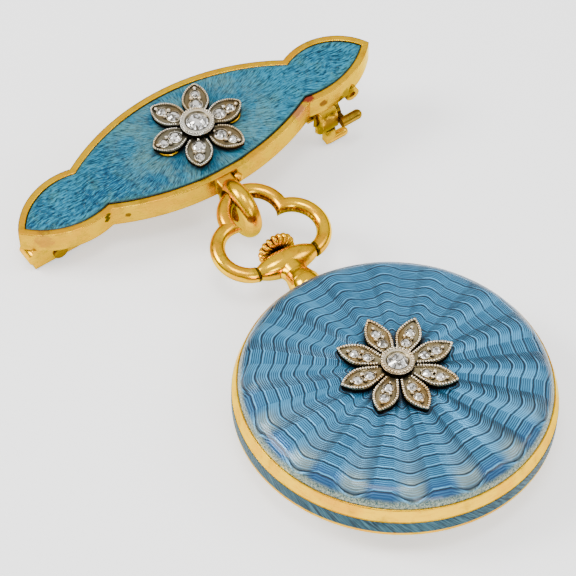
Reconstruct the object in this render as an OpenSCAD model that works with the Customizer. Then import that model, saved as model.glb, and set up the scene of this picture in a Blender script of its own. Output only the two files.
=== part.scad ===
// Enamelled pendant watch hanging by its bow from a bar brooch.
// Both lie on a flat surface as they are put down: the watch on its glass, the brooch on its pin fittings.
// +Z is up, +Y runs from the watch towards the brooch, and the origin is under the middle of the whole piece.

/* [Watch case] */
// Radius of the case at the lower edge of its gold rim
case_r = 14; // [13.95:0.05:14.1]
// Height of that edge above the surface the glass lies on
rim_z = 4.5; // [4.4:0.1:4.7]
// Height of the bevelled gold rim round the enamelled back
rim_h = 1.02; // [0.9:0.02:1.1]
// How far the rim leans in over its height
rim_lean = 0.32; // [0.2:0.02:0.36]
// Height of the case middle under the rim
band_h = 1.72; // [1.6:0.02:1.9]
// Height of the plain gold lip under the enamelled groove of the middle
band_lip = 0.3; // [0.2:0.05:0.4]
// Thickness of the case middle's wall
band_t = 1.1; // [1:0.1:1.2]
// Depth of the enamelled groove in the case middle
groove_t = 0.35; // [0.3:0.05:0.5]

/* [Enamelled back] */
// Rise of the enamel's middle above the lower edge of the gold rim
dome_h = 2.92; // [2.8:0.02:3]
// Radius of the nearly flat dome
dome_r = 180; // [160:10:220]
// Radius of the rounded shoulder between the dome and the rim
shoulder_r = 2; // [1.9:0.1:2.2]
// Thickness of the enamel layer
enamel_t = 0.45; // [0.4:0.05:0.5]
// Thickness of the gold lid under the enamel
lid_t = 0.4; // [0.3:0.05:0.5]

/* [Watch flower] */
// Number of petals on the watch
watch_petals = 8; // [8:1:8]
// Distance from the flower's centre to a petal's tip
watch_petal_tip = 5.37; // [5.2:0.05:5.5]
// Turn of the first petal from +X
watch_petal_turn = 40.1; // [30:0.1:50]
// Radius of the centre collet
watch_collet_r = 1.45; // [1.4:0.05:1.5]
// Radius of the centre stone
watch_stone_r = 0.92; // [0.85:0.01:0.95]

/* [Pendant] */
// Distance from the watch's centre to the axis of the crossbar
crossbar_y = 17.7; // [17.5:0.1:17.9]
// Half length of the crossbar
crossbar_half = 2.9; // [2.8:0.05:2.95]
// Radius of the crossbar's swelling middle
crossbar_r = 1; // [0.95:0.05:1.1]
// Radius of the neck where it leaves the case
neck_r = 1.35; // [1.3:0.05:1.4]
// Greatest radius of the fluted crown
crown_r = 1.84; // [1.7:0.02:1.86]
// Length of the crown
crown_l = 1.3; // [1.2:0.05:1.4]
// Number of flutes round the crown
crown_flutes = 22; // [18:1:24]

/* [Bow] */
// Radius of the bow's wire
bow_wire_r = 0.7; // [0.65:0.01:0.72]
// Radius of the bow's two side lobes
bow_side_r = 2.76; // [2.7:0.02:2.8]
// Distance of a side lobe's centre from the middle line
bow_side_x = 2.42; // [2.4:0.02:2.5]
// Distance of a side lobe's centre from the crossbar's axis
bow_side_y = 2.7; // [2.65:0.05:2.75]
// Radius of the bow's top lobe
bow_top_r = 2.77; // [2.7:0.01:2.8]
// Distance of the top lobe's centre from the crossbar's axis
bow_top_y = 5.63; // [5.5:0.01:5.7]
// Lift of the bow above the level as it lies
bow_lift = 10; // [8:0.5:11]

/* [Brooch] */
// Distance from the watch's centre to the brooch's centre
brooch_y = 33.4; // [33.2:0.1:33.5]
// Height of the brooch's rim over the surface, at its centre
brooch_z = 6.85; // [6.8:0.05:6.95]
// Turn of the brooch about the vertical
brooch_turn = 3.17; // [2.5:0.1:4]
// Lean of the brooch about its own length, far edge up
brooch_roll = 4.65; // [4:0.05:5]
// Rise of the brooch's right end
brooch_rise = 5.25; // [5:0.05:5.5]
// Depth of the tray from its rim to its flat back
tray_h = 2.35; // [2.2:0.05:2.4]
// Width of the gold rim round the brooch's enamel
tray_rim = 0.64; // [0.5:0.02:0.7]
// Depth of the enamel in the tray
plaque_t = 0.7; // [0.6:0.05:0.8]
// Rise of the enamel's middle above the rim
plaque_rise = 0.32; // [0.2:0.02:0.36]

/* [Brooch flower] */
// Number of petals on the brooch
brooch_petals = 6; // [6:1:6]
// Distance from the flower's centre to a petal's tip
brooch_petal_tip = 4.8; // [4.7:0.05:4.85]
// Radius of the centre collet
brooch_collet_r = 1.6; // [1.55:0.05:1.65]
// Radius of the centre stone
brooch_stone_r = 1.05; // [1:0.01:1.1]

/* [Brooch fittings] */
// Place of the hinge's rivet along the brooch
rivet_x = -16.2; // [-16.4:0.1:-16]
// Distance of the hinge from the brooch's middle line
hinge_y = -0.65; // [-0.7:0.05:-0.6]
// Distance of the catch from the brooch's middle line
catch_y = -1.7; // [-1.8:0.05:-1.6]
// Depth of the pin below the rim
pin_z = -4.2; // [-4.25:0.05:-4.15]
// Radius of the pin stem
pin_r = 0.42; // [0.38:0.01:0.44]
// Place of the catch along the brooch
catch_x = 11.6; // [11.4:0.1:11.8]

/* [Hidden] */
$fn = 64;

// Small clearance between pieces that lie against each other
gap = 0.02;
// Clearance of the turning and sliding fits
run = 0.04;

// Neck: its collar against the case, then a flare up to the crossbar
collar_r = neck_r + 0.13;
collar_l = 0.75;
neck_flare_y = case_r + 0.85;
neck_flare_l = 1.2;
neck_top_r = 1.08;

// Crown, turned on the end of the stem
crossbar_taper = 0.38;
crown_y = crossbar_y + crossbar_r + 0.08;
crown_bore_l = 0.95;
flute_r = 0.18;

// Levels and radii of the case
band_z = rim_z - band_h;
rim_top_r = case_r - rim_lean;
enamel_edge_r = rim_top_r - 0.18;
enamel_foot_z = rim_z + 0.72;
dome_top_z = rim_z + dome_h;
dome_centre_z = dome_top_z - dome_r;
shoulder_x = enamel_edge_r + 0.1 - shoulder_r;
shoulder_z = dome_centre_z + sqrt(pow(dome_r - shoulder_r, 2) - pow(shoulder_x, 2));
stem_z = rim_z - 0.55;
stem_r = 0.4;
stem_start_y = 10.9;
stem_end_y = crown_y + crown_bore_l - 0.08;
inner_r = case_r - band_t;

// Levels of the dial side
dial_r = 12;
dial_z = band_z - 0.48;
dial_t = 0.2;
glass_r = 12;
glass_t = 0.9;
glass_flat_r = 10.8;
bezel_round_r = 2;
bezel_x = 11.4;
bezel_in_r = 11.2;
arbor_r = 0.25;
hour_z = dial_z - 0.35;
minute_z = dial_z - 0.65;
hand_t = 0.15;

// Levels of the watch flower
watch_petal_top_z = rim_z + 3.42;
watch_petal_t = 0.38;
watch_collet_top_z = rim_z + 4;
watch_petal_mid = 3.12;
watch_petal_half = 1.06;
watch_petal_wedge = 20;
watch_inner_r = 0.43;
watch_inner_at = 2.62;
watch_outer_r = 0.42;
watch_outer_at = 3.8;

// Outline of the brooch's enamel, cut by hand and so a little uneven: middle, left end and right end,
// each between a far arc and a near arc given by its centre's x, its centre's y and its radius
plaque_arcs = [
    [[-0.69, -15.61, 21.18], [-0.32, 18.94, 23.83]],
    [[-13.52, -3.53, 6.17], [-13.46, 4.67, 7.32]],
    [[13.93, -2.63, 5.18], [12.47, 6.25, 8.76]]];
swell_across_r = 46;
swell_along_r = 420;

// Levels of the brooch flower above the rim
brooch_petal_top = 1.1;
brooch_petal_t = 0.42;
brooch_collet_top = 1.71;
brooch_petal_mid = 2.93;
brooch_petal_half = 1.25;
brooch_petal_wedge = 28;
brooch_inner_r = 0.6;
brooch_inner_at = 2.43;
brooch_outer_r = 0.43;
brooch_outer_at = 3.68;
post_r = 0.75;
post_x = 3.3;
post_y = -0.15;
strip_t = 0.11;

// Rim and recess of every petal
petal_rim = 0.24;
petal_recess = 0.14;

// Loop of the brooch, round the bow's wire: a fat ring, its hole set back and drawn out upwards,
// with the root that joins it to the frame and a lug of solder beside the root
loop_x = -0.85;
loop_y = -7.8;
loop_z = -1.8;
loop_hole_r = 1.45;
loop_hole_top_r = 1.3;
loop_hole_top = [0.15, 0.55];
loop_r = 2.9;
loop_half_w = 0.85;
loop_shift = [-0.4, -0.3];
loop_root = [1.5, 1.5, 2.1];
loop_root_z = -2.3;
lug_r = 0.5;
lug_at = [1.3, 1.9, 0.95];
lug_stem_r = 0.35;

// Hinge of the pin
hinge_left = -18.9;
hinge_right = -12.4;
hinge_w = 1.7;
hinge_bottom = -4.9;
hinge_tail_r = 0.85;
hinge_tail_at = [hinge_left + 0.3, -3.35];
channel_left = -17.3;
channel_w = 1.2;
channel_top = -3.2;
rivet_r = 0.3;
rivet_head_r = 0.7;
rivet_head_t = 0.18;
root_r = 0.68;
root_w = 1.1;
root_l = 3;
pin_l = 30.8;
pin_point = 2.4;
pin_skew = atan((hinge_y - catch_y) / (catch_x + 0.9 - rivet_x));

// Catch at the other end
catch_l = 1.8;
catch_r = 2;
catch_bore_r = 1.14;
slot_w = 1.2;
sleeve_r = catch_bore_r - run;
sleeve_bore_r = 0.66;
flange_r = 1.5;
flange_t = 0.6;
lever_l = 2.3;
lever_w = 0.55;
knob_r = 0.5;
catch_neck_w = 1.8;
foot_x = catch_x + 1.2;
foot_y = -2.9;
foot_w = 0.8;
foot_r = 0.45;
foot_l = 1.7;
foot_z = -7.82 + foot_r;

// Eye for a safety chain beside the catch
eye_at = [catch_x + 4, -2.75, -2.75];
eye_r = 0.75;
eye_hole_r = 0.34;
eye_t = 0.5;

// Meeting points of the bow's lobes
bow_gap = 0.08;
bow_end_x = crossbar_half + bow_gap;
lobe_apart = norm([bow_side_x, bow_side_y - bow_top_y]);
lobe_dir = [bow_side_x, bow_side_y - bow_top_y] / lobe_apart;
chord_at = (pow(bow_top_r, 2) - pow(bow_side_r, 2) + pow(lobe_apart, 2)) / (2 * lobe_apart);
chord_half = sqrt(pow(bow_top_r, 2) - pow(chord_at, 2));
cusp = [chord_at * lobe_dir.x - chord_half * lobe_dir.y,
        bow_top_y + chord_at * lobe_dir.y + chord_half * lobe_dir.x];
side_end = atan2(cusp.y - bow_side_y, cusp.x - bow_side_x);
top_start = atan2(cusp.y - bow_top_y, cusp.x);
side_start = -acos((bow_end_x - bow_side_x) / bow_side_r);
cusp_lap = 9;
pivot_r = 0.28;
pivot_l = 0.65;

// Middle of the whole piece seen from above
middle_x = -0.044;
middle_y = 12.872;

// Place of the enamel's near edge across the brooch's middle
function near_edge(x) = plaque_arcs[0][1][1] - sqrt(pow(plaque_arcs[0][1][2], 2) - pow(x - plaque_arcs[0][1][0], 2));

// Radius of a petal's side arcs, from its tip, its widest place and its half width there
function petal_arc(tip, mid, half) = (pow(tip - mid, 2) + half * half) / (2 * half);

module on_watch() {
    translate([-middle_x, -middle_y, 0]) children();
}

module on_brooch() {
    translate([-middle_x, brooch_y - middle_y, brooch_z])
        rotate([0, 0, brooch_turn]) rotate([brooch_roll, 0, 0]) rotate([0, -brooch_rise, 0]) children();
}

module on_crossbar() {
    translate([-middle_x, crossbar_y - middle_y, stem_z]) children();
}

// Half section of the domed back, drawn in from its outer face
module dome_section(inset) {
    meet_x = (dome_r - inset) * shoulder_x / (dome_r - shoulder_r);
    intersection() {
        translate([0, dome_centre_z]) circle(r = dome_r - inset, $fn = 1440);
        translate([0, rim_z]) square([meet_x, dome_h]);
    }
    translate([shoulder_x, shoulder_z]) circle(r = shoulder_r - inset);
    translate([0, rim_z - 0.5]) square([shoulder_x + shoulder_r - inset, shoulder_z - rim_z + 0.5]);
}

// Round bar along Y
module bar_y(r, l) {
    rotate([-90, 0, 0]) cylinder(r = r, h = l);
}

// Round bar along X
module bar_x(r, l) {
    rotate([0, 90, 0]) cylinder(r = r, h = l);
}

// Petal outline along +X, its edges moved in by inset
module petal_outline(tip, mid, half, wedge, inset) {
    arc = petal_arc(tip, mid, half);
    intersection() {
        translate([mid, arc - half]) circle(r = arc - inset);
        translate([mid, half - arc]) circle(r = arc - inset);
        polygon([[inset, 0], [tip, (tip - inset) * tan(wedge)], [tip, (inset - tip) * tan(wedge)]]);
    }
}

// Petal plate with a raised rim and two stone seats, its top at z = 0
module petal(tip, mid, half, wedge, t, seats) {
    difference() {
        translate([0, 0, -t]) linear_extrude(t) petal_outline(tip, mid, half, wedge, 0);
        translate([0, 0, -petal_recess]) linear_extrude(1)
            petal_outline(tip, mid, half, wedge, petal_rim);
        for (s = seats) translate([s[0], 0, -1]) cylinder(r = s[1] + gap, h = 2);
    }
}

// Cut stone with a table, eight main facets, a round girdle at z = 0 and a small flat culet
module stone(r) {
    table = [for (i = [0:7]) [0.5 * r * cos(45 * i), 0.5 * r * sin(45 * i), 0.42 * r]];
    girdle = [for (i = [0:15]) [r * cos(22.5 * i), r * sin(22.5 * i), 0]];
    culet = [for (i = [0:7]) [0.3 * r * cos(45 * i), 0.3 * r * sin(45 * i), -0.45 * r]];
    crown_facets = [for (i = [0:7]) let (n = (i + 1) % 8, a = 8 + 2 * i, b = 9 + 2 * i, c = 8 + (2 * i + 2) % 16)
        each [[i, b, a], [i, n, b], [n, c, b]]];
    under_facets = [for (i = [0:7]) let (n = (i + 1) % 8, a = 8 + 2 * i, b = 9 + 2 * i, c = 8 + (2 * i + 2) % 16)
        each [[24 + i, a, b], [24 + i, b, 24 + n], [24 + n, b, c]]];
    polyhedron(points = concat(table, girdle, culet),
        faces = concat([[for (i = [7:-1:0]) i]], crown_facets, under_facets, [[for (i = [0:7]) 24 + i]]));
}

module plaque_outline(grow) {
    for (pair = plaque_arcs) intersection() {
        translate([pair[0][0], pair[0][1]]) circle(r = pair[0][2] + grow, $fn = 360);
        translate([pair[1][0], pair[1][1]]) circle(r = pair[1][2] + grow, $fn = 360);
    }
}

module brooch_loop() {
    difference() {
        union() {
            translate([loop_x, loop_y + loop_shift[0], loop_z + loop_shift[1]]) rotate([0, 90, 0]) rotate_extrude() {
                translate([0, -loop_half_w]) square([loop_r - loop_half_w, 2 * loop_half_w]);
                translate([loop_r - loop_half_w, 0]) circle(r = loop_half_w);
            }
            translate([loop_x - loop_root.x / 2, near_edge(loop_x) - tray_rim + 0.4 - loop_root.y, loop_root_z])
                cube(loop_root);
            translate([loop_x, loop_y, loop_z] + lug_at) {
                sphere(r = lug_r);
                translate([-lug_r, -0.4, -0.1]) bar_y(lug_stem_r, 1.1);
            }
        }
        translate([loop_x - 2, loop_y, loop_z]) {
            bar_x(loop_hole_r, 4);
            translate([0, loop_hole_top[0], loop_hole_top[1]]) bar_x(loop_hole_top_r, 4);
        }
    }
}

module hinge_block() {
    difference() {
        union() {
            translate([hinge_left, hinge_y - hinge_w / 2, hinge_bottom])
                cube([hinge_right - hinge_left, hinge_w, -tray_h - hinge_bottom + 0.1]);
            translate([hinge_tail_at.x, hinge_y - hinge_w / 2, hinge_tail_at.y]) bar_y(hinge_tail_r, hinge_w);
        }
        translate([channel_left, hinge_y - channel_w / 2, hinge_bottom - 1])
            cube([10, channel_w, channel_top - hinge_bottom + 1]);
        translate([rivet_x, hinge_y - 2, pin_z]) bar_y(rivet_r + gap, 4);
    }
}

module catch_housing() {
    difference() {
        union() {
            translate([catch_x, catch_y, pin_z]) bar_x(catch_r, catch_l);
            translate([catch_x, catch_y - catch_neck_w / 2, pin_z])
                cube([catch_l, catch_neck_w, -tray_h - pin_z + 0.1]);
        }
        translate([catch_x - 1, catch_y, pin_z]) bar_x(catch_bore_r, catch_l + 2);
        translate([catch_x - 1, catch_y - slot_w / 2, pin_z - 3]) cube([catch_l + 2, slot_w, 3]);
    }
    translate([foot_x - 0.5, foot_y - foot_w / 2, foot_z - 0.1]) cube([1, foot_w, pin_z - 1.3 - foot_z]);
    translate([foot_x, foot_y, foot_z]) {
        sphere(r = foot_r);
        bar_x(foot_r, foot_l);
        translate([foot_l, 0, 0]) sphere(r = foot_r);
    }
}

module chain_eye() {
    translate(eye_at) difference() {
        union() {
            bar_y(eye_r, eye_t);
            translate([-eye_hole_r, 0, 0]) cube([2 * eye_hole_r, eye_t, 1]);
        }
        translate([0, -1, 0]) bar_y(eye_hole_r, 3);
    }
}

module brooch_frame() {
    color("goldenrod") on_brooch() {
        difference() {
            translate([0, 0, -tray_h]) linear_extrude(tray_h) plaque_outline(tray_rim);
            translate([0, 0, -plaque_t - gap]) linear_extrude(2) plaque_outline(gap);
        }
        brooch_loop();
        hinge_block();
        catch_housing();
        chain_eye();
    }
}

// Low crown, curved far more across the brooch than along it
module swell() {
    translate([0, 0, plaque_rise - swell_along_r]) rotate([90, 0, 0])
        rotate_extrude(angle = 8, start = 86, $fn = 720) intersection() {
            translate([swell_along_r - swell_across_r, 0]) circle(r = swell_across_r, $fn = 360);
            translate([swell_along_r - 2, -10]) square([3, 20]);
        }
}

module brooch_enamel() {
    color("steelblue") on_brooch() intersection() {
        translate([0, 0, -plaque_t]) linear_extrude(2) plaque_outline(-gap);
        swell();
    }
}

module brooch_flower() {
    color("silver") on_brooch() {
        difference() {
            union() {
                for (i = [0:brooch_petals - 1]) rotate([0, 0, i * 360 / brooch_petals])
                    translate([0, 0, brooch_petal_top])
                        petal(brooch_petal_tip, brooch_petal_mid, brooch_petal_half, brooch_petal_wedge,
                            brooch_petal_t, [[brooch_inner_at, brooch_inner_r], [brooch_outer_at, brooch_outer_r]]);
                translate([0, 0, brooch_petal_top - brooch_petal_t])
                    cylinder(r = brooch_collet_r, h = brooch_collet_top - brooch_petal_top + brooch_petal_t);
            }
            translate([0, 0, brooch_collet_top - 0.6]) cylinder(r = brooch_stone_r + gap, h = 1);
        }
    }
}

module brooch_flower_posts() {
    strip_z = brooch_petal_top - brooch_petal_t - gap - strip_t;
    foot_z = plaque_rise + gap;
    color("gold") on_brooch() {
        translate([-post_x, post_y - 0.4, strip_z]) cube([2 * post_x, 0.8, strip_t]);
        for (side = [-1, 1]) translate([side * post_x, post_y, foot_z])
            cylinder(r = post_r, h = strip_z + strip_t - foot_z);
        translate([0, 0, foot_z]) cylinder(r = 1.1, h = strip_z + strip_t - foot_z);
    }
}

module brooch_stone_centre() {
    color("ghostwhite") on_brooch() translate([0, 0, brooch_collet_top - 0.1]) stone(brooch_stone_r);
}

module brooch_stone(i, at, r) {
    color("ghostwhite") on_brooch() rotate([0, 0, (i - 1) * 360 / brooch_petals])
        translate([at, 0, brooch_petal_top - petal_recess + 0.05]) stone(r);
}

module pin_stem() {
    color("goldenrod") on_brooch() translate([rivet_x, hinge_y, pin_z]) difference() {
        union() {
            translate([0, -root_w / 2, 0]) bar_y(root_r, root_w);
            translate([0, -root_w / 2, -pin_r]) cube([root_l, root_w, 2 * pin_r]);
            rotate([0, 0, -pin_skew]) {
                bar_x(pin_r, pin_l - pin_point);
                translate([pin_l - pin_point, 0, 0]) rotate([0, 90, 0])
                    cylinder(r1 = pin_r, r2 = 0.08, h = pin_point);
            }
        }
        translate([0, -1, 0]) bar_y(rivet_r + run, 2);
    }
}

module pin_rivet() {
    head_y = hinge_w / 2 + gap;
    color("gold") on_brooch() translate([rivet_x, hinge_y, pin_z]) {
        translate([0, -head_y, 0]) bar_y(rivet_r, 2 * head_y);
        translate([0, -head_y - rivet_head_t, 0]) bar_y(rivet_head_r, rivet_head_t);
        translate([0, head_y, 0]) bar_y(rivet_head_r, rivet_head_t);
    }
}

module safety_catch() {
    flange_x = catch_l + run;
    knob_x = flange_x + flange_t / 2;
    color("goldenrod") on_brooch() translate([catch_x, catch_y, pin_z]) difference() {
        union() {
            translate([-0.2, 0, 0]) bar_x(sleeve_r, catch_l + 0.3);
            translate([flange_x, 0, 0]) bar_x(flange_r, flange_t);
            translate([flange_x, -lever_l, -lever_w / 2]) cube([flange_t, lever_l, lever_w]);
            translate([flange_x, -lever_l, 0]) bar_x(knob_r, flange_t / 2 + 1.5);
            translate([knob_x + 1.5, -lever_l, 0]) sphere(r = knob_r);
        }
        translate([-1, 0, 0]) bar_x(sleeve_bore_r, catch_l + 4);
        translate([-1, -slot_w / 2, -3]) cube([catch_l + 4, slot_w, 3]);
    }
}

// One lobe's wire, part of a ring
module wire_arc(wire, r, from, to) {
    rotate([0, 0, from]) rotate_extrude(angle = to - from) translate([r, 0]) circle(r = wire, $fn = 32);
}

module bow_side_lobe() {
    difference() {
        translate([bow_side_x, bow_side_y, 0]) wire_arc(bow_wire_r, bow_side_r, side_start - 20, side_end + cusp_lap);
        translate([bow_end_x - 3, -2, -2]) cube([3, 3.2, 4]);
    }
    translate([bow_end_x - pivot_l, 0, 0]) bar_x(pivot_r, pivot_l + 0.3);
}

module bow() {
    color("gold") on_crossbar() rotate([bow_lift, 0, 0]) {
        translate([0, bow_top_y, 0])
            wire_arc(bow_wire_r - 0.02, bow_top_r, top_start - cusp_lap, 180 - top_start + cusp_lap);
        bow_side_lobe();
        mirror([1, 0, 0]) bow_side_lobe();
    }
}

module neck() {
    difference() {
        translate([0, inner_r, stem_z]) bar_y(neck_r, neck_flare_y - inner_r);
        translate([0, 0, rim_z - gap]) cylinder(r = case_r + 0.05, h = 4);
        translate([0, 0, band_z - 4]) cylinder(r = case_r + 0.05, h = 4);
    }
    translate([0, neck_flare_y - 0.01, stem_z]) rotate([-90, 0, 0])
        cylinder(r1 = neck_r, r2 = neck_top_r, h = neck_flare_l + 0.01);
    translate([0, neck_flare_y + neck_flare_l - 0.01, stem_z])
        bar_y(neck_top_r, crossbar_y - 0.3 - neck_flare_y - neck_flare_l);
    translate([0, case_r + 0.05, stem_z]) bar_y(collar_r, collar_l);
}

module case_middle() {
    color("goldenrod") on_watch() {
        difference() {
            union() {
                rotate_extrude() difference() {
                    translate([inner_r, band_z]) square([band_t, band_h - gap]);
                    translate([case_r - groove_t, band_z + band_lip])
                        square([1, band_h - band_lip - 0.12]);
                }
                neck();
                translate([0, crossbar_y, stem_z]) crossbar();
            }
            cylinder(r = inner_r - 0.01, h = 20);
            translate([0, stem_start_y, stem_z]) bar_y(stem_r + run, 10);
            for (side = [-1, 1]) translate([side * (crossbar_half + 0.5) - 1.3, crossbar_y, stem_z])
                bar_x(pivot_r + run, 2.6);
        }
    }
}

module crossbar() {
    barrel_r = (crossbar_half * crossbar_half + crossbar_taper * crossbar_taper) / (2 * crossbar_taper);
    rotate([0, 90, 0]) rotate_extrude() intersection() {
        translate([crossbar_r - barrel_r, 0]) circle(r = barrel_r, $fn = 360);
        translate([0, -crossbar_half]) square([2, 2 * crossbar_half]);
    }
}

module middle_enamel() {
    enamel_z = band_z + band_lip + gap;
    color("darkslategray") on_watch() difference() {
        translate([0, 0, enamel_z]) cylinder(r = case_r + 0.03, h = band_h - band_lip - 0.12 - 2 * gap);
        translate([0, 0, enamel_z - 1]) cylinder(r = case_r - groove_t + gap, h = 4);
        translate([0, 13, stem_z]) bar_y(neck_r + 0.15, 3);
    }
}

module back_lid() {
    ledge_z = enamel_foot_z - gap;
    color("goldenrod") on_watch() rotate_extrude() {
        polygon([[inner_r, rim_z + gap], [case_r, rim_z + gap], [rim_top_r, rim_z + rim_h],
            [rim_top_r - 0.05, rim_z + rim_h + 0.1], [enamel_edge_r + gap, rim_z + rim_h + 0.1],
            [enamel_edge_r + gap, ledge_z], [inner_r, ledge_z]]);
        difference() {
            dome_section(enamel_t + gap);
            dome_section(enamel_t + gap + lid_t);
            translate([0, 0]) square([case_r, rim_z + gap]);
        }
    }
}

module back_enamel() {
    color("steelblue") on_watch() rotate_extrude() intersection() {
        difference() {
            dome_section(0);
            dome_section(enamel_t);
        }
        translate([0, enamel_foot_z]) square([enamel_edge_r, dome_h]);
    }
}

module watch_flower() {
    color("silver") on_watch() rotate([0, 0, watch_petal_turn]) difference() {
        union() {
            for (i = [0:watch_petals - 1]) rotate([0, 0, i * 360 / watch_petals])
                translate([0, 0, watch_petal_top_z])
                    petal(watch_petal_tip, watch_petal_mid, watch_petal_half, watch_petal_wedge,
                        watch_petal_t, [[watch_inner_at, watch_inner_r], [watch_outer_at, watch_outer_r]]);
            translate([0, 0, dome_top_z + gap]) cylinder(r = 1.2, h = 0.4);
            translate([0, 0, watch_petal_top_z - watch_petal_t])
                cylinder(r = watch_collet_r, h = watch_collet_top_z - watch_petal_top_z + watch_petal_t);
        }
        translate([0, 0, watch_collet_top_z - 0.55]) cylinder(r = watch_stone_r + gap, h = 1);
    }
}

module watch_stone_centre() {
    color("ghostwhite") on_watch() translate([0, 0, watch_collet_top_z - 0.08]) stone(watch_stone_r);
}

module watch_stone(i, at, r) {
    color("ghostwhite") on_watch() rotate([0, 0, watch_petal_turn + (i - 1) * 360 / watch_petals])
        translate([at, 0, watch_petal_top_z - petal_recess + 0.05]) stone(r);
}

module bezel() {
    color("goldenrod") on_watch() rotate_extrude() difference() {
        intersection() {
            union() {
                translate([bezel_x, bezel_round_r + 0.8]) circle(r = bezel_round_r);
                translate([bezel_in_r, 0.8]) square([bezel_x - bezel_in_r, 2]);
            }
            translate([bezel_in_r, 0.8]) square([4, band_z - gap - 0.8]);
        }
        translate([0, dial_z - 0.05]) square([dial_r + 0.15, 2]);
        translate([0, 0]) square([glass_r + gap, dial_z - 0.35]);
    }
}

module glass() {
    color("white", 0.4) on_watch() rotate_extrude()
        polygon([[0, 0], [glass_flat_r, 0], [glass_r, 1.2], [glass_r, dial_z - 0.35 - gap],
            [glass_r - 0.9, dial_z - 0.35 - gap], [glass_r - 0.9, glass_t], [0, glass_t]]);
}

module dial() {
    color("white") on_watch() difference() {
        translate([0, 0, dial_z]) cylinder(r = dial_r, h = dial_t);
        translate([0, 0, dial_z - 1]) cylinder(r = 0.6, h = 2);
    }
}

module movement() {
    color("darkgoldenrod") on_watch() difference() {
        union() {
            translate([0, 0, minute_z - 0.1]) cylinder(r = arbor_r, h = 2);
            translate([0, 0, dial_z + dial_t + gap]) cylinder(r = dial_r, h = 0.6);
            translate([0, 0, band_z + 0.1]) cylinder(r = inner_r - 0.3, h = 1.4);
            translate([0, 0, band_z + 1.4]) cylinder(r = 11.2, h = 1.8);
        }
        translate([0, stem_start_y - 0.1, stem_z]) bar_y(stem_r + run, 4);
    }
}

// Hand along +Y with a round hub, lying in z from 0 to hand_t
module hand(length, half) {
    difference() {
        linear_extrude(hand_t) {
            circle(r = 0.55);
            polygon([[-half, -1.6], [half, -1.6], [half * 1.3, length * 0.6], [0, length], [-half * 1.3, length * 0.6]]);
        }
        translate([0, 0, -1]) cylinder(r = arbor_r + run, h = 3);
    }
}

module hour_hand() {
    color("dimgray") on_watch() translate([0, 0, hour_z]) rotate([0, 0, -60]) hand(5.6, 0.28);
}

module minute_hand() {
    color("dimgray") on_watch() translate([0, 0, minute_z]) rotate([0, 0, 60]) hand(8.6, 0.22);
}

module winding_stem() {
    color("silver") on_watch() translate([0, stem_start_y, stem_z]) bar_y(stem_r, stem_end_y - stem_start_y);
}

module crown() {
    color("gold") on_watch() translate([0, crown_y, stem_z]) rotate([-90, 0, 0]) difference() {
        rotate_extrude() {
            square([crown_r - crown_l / 2, crown_l]);
            intersection() {
                translate([crown_r - crown_l / 2, crown_l / 2]) circle(r = crown_l / 2);
                square([crown_r, crown_l]);
            }
        }
        for (i = [0:crown_flutes - 1]) rotate([0, 0, i * 360 / crown_flutes])
            translate([crown_r, 0, -1]) cylinder(r = flute_r, h = crown_l + 2, $fn = 16);
        translate([0, 0, -1]) cylinder(r = stem_r + run, h = 1 + crown_bore_l);
    }
}

brooch_frame();
brooch_enamel();
brooch_flower();
brooch_flower_posts();
brooch_stone_centre();
for (i = [1:6]) {
    brooch_stone(i, brooch_inner_at, brooch_inner_r);
    brooch_stone(i, brooch_outer_at, brooch_outer_r);
}
pin_stem();
pin_rivet();
safety_catch();
bow();
case_middle();
middle_enamel();
back_lid();
back_enamel();
watch_flower();
watch_stone_centre();
for (i = [1:8]) {
    watch_stone(i, watch_inner_at, watch_inner_r);
    watch_stone(i, watch_outer_at, watch_outer_r);
}
bezel();
glass();
dial();
movement();
hour_hand();
minute_hand();
winding_stem();
crown();
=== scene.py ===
"""Looks of the enamelled pendant watch and of the bar brooch that it hangs from.

Every length in the classes is in millimetres, in the part's frame or in the axes of the watch or the brooch,
and becomes metres where a mesh or a node is made. Angles are in degrees where they are named values.
"""

import logging
import math
from dataclasses import dataclass, field
from enum import Enum, IntEnum

import bpy
import numpy as np
from mathutils import Matrix, Vector

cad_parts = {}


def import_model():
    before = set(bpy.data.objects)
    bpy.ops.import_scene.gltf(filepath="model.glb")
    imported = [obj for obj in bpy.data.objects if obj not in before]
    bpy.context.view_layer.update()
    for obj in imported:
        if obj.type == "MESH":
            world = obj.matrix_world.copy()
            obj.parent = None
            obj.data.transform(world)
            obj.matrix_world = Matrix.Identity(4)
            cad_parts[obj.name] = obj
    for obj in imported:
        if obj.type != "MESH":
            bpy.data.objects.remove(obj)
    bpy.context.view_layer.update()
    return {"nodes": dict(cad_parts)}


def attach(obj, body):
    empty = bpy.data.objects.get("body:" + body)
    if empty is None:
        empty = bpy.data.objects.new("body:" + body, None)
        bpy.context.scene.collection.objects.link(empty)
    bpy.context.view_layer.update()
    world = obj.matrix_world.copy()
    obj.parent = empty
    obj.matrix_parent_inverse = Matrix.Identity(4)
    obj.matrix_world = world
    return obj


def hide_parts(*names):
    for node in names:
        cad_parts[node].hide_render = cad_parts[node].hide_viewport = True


MM = 0.001
FULL_TURN = 2 * math.pi
LOG = logging.getLogger("pendant_watch")
Colour = tuple[float, float, float]
Points = np.ndarray
Profile = list[tuple[float, float]]
Faces = list[tuple[int, ...]]
Material = bpy.types.Material
Socket = bpy.types.NodeSocket
Value = float | Colour | Socket
WHITE: Colour = (1.0, 1.0, 1.0)


class Body(Enum):
    """Bodies of the part that the scene's own pieces ride on."""

    BROOCH = "brooch"
    WATCH = "watch"
    CROWN = "crown"


class Slot(Enum):
    """Material slots of the part's record, named for the scene's own pieces."""

    GOLD = "gold"
    WHITE_METAL = "white_metal"
    BLUE_ENAMEL = "blue_enamel"
    HANDS = "blued_steel"


# Places and shared sizes


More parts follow.
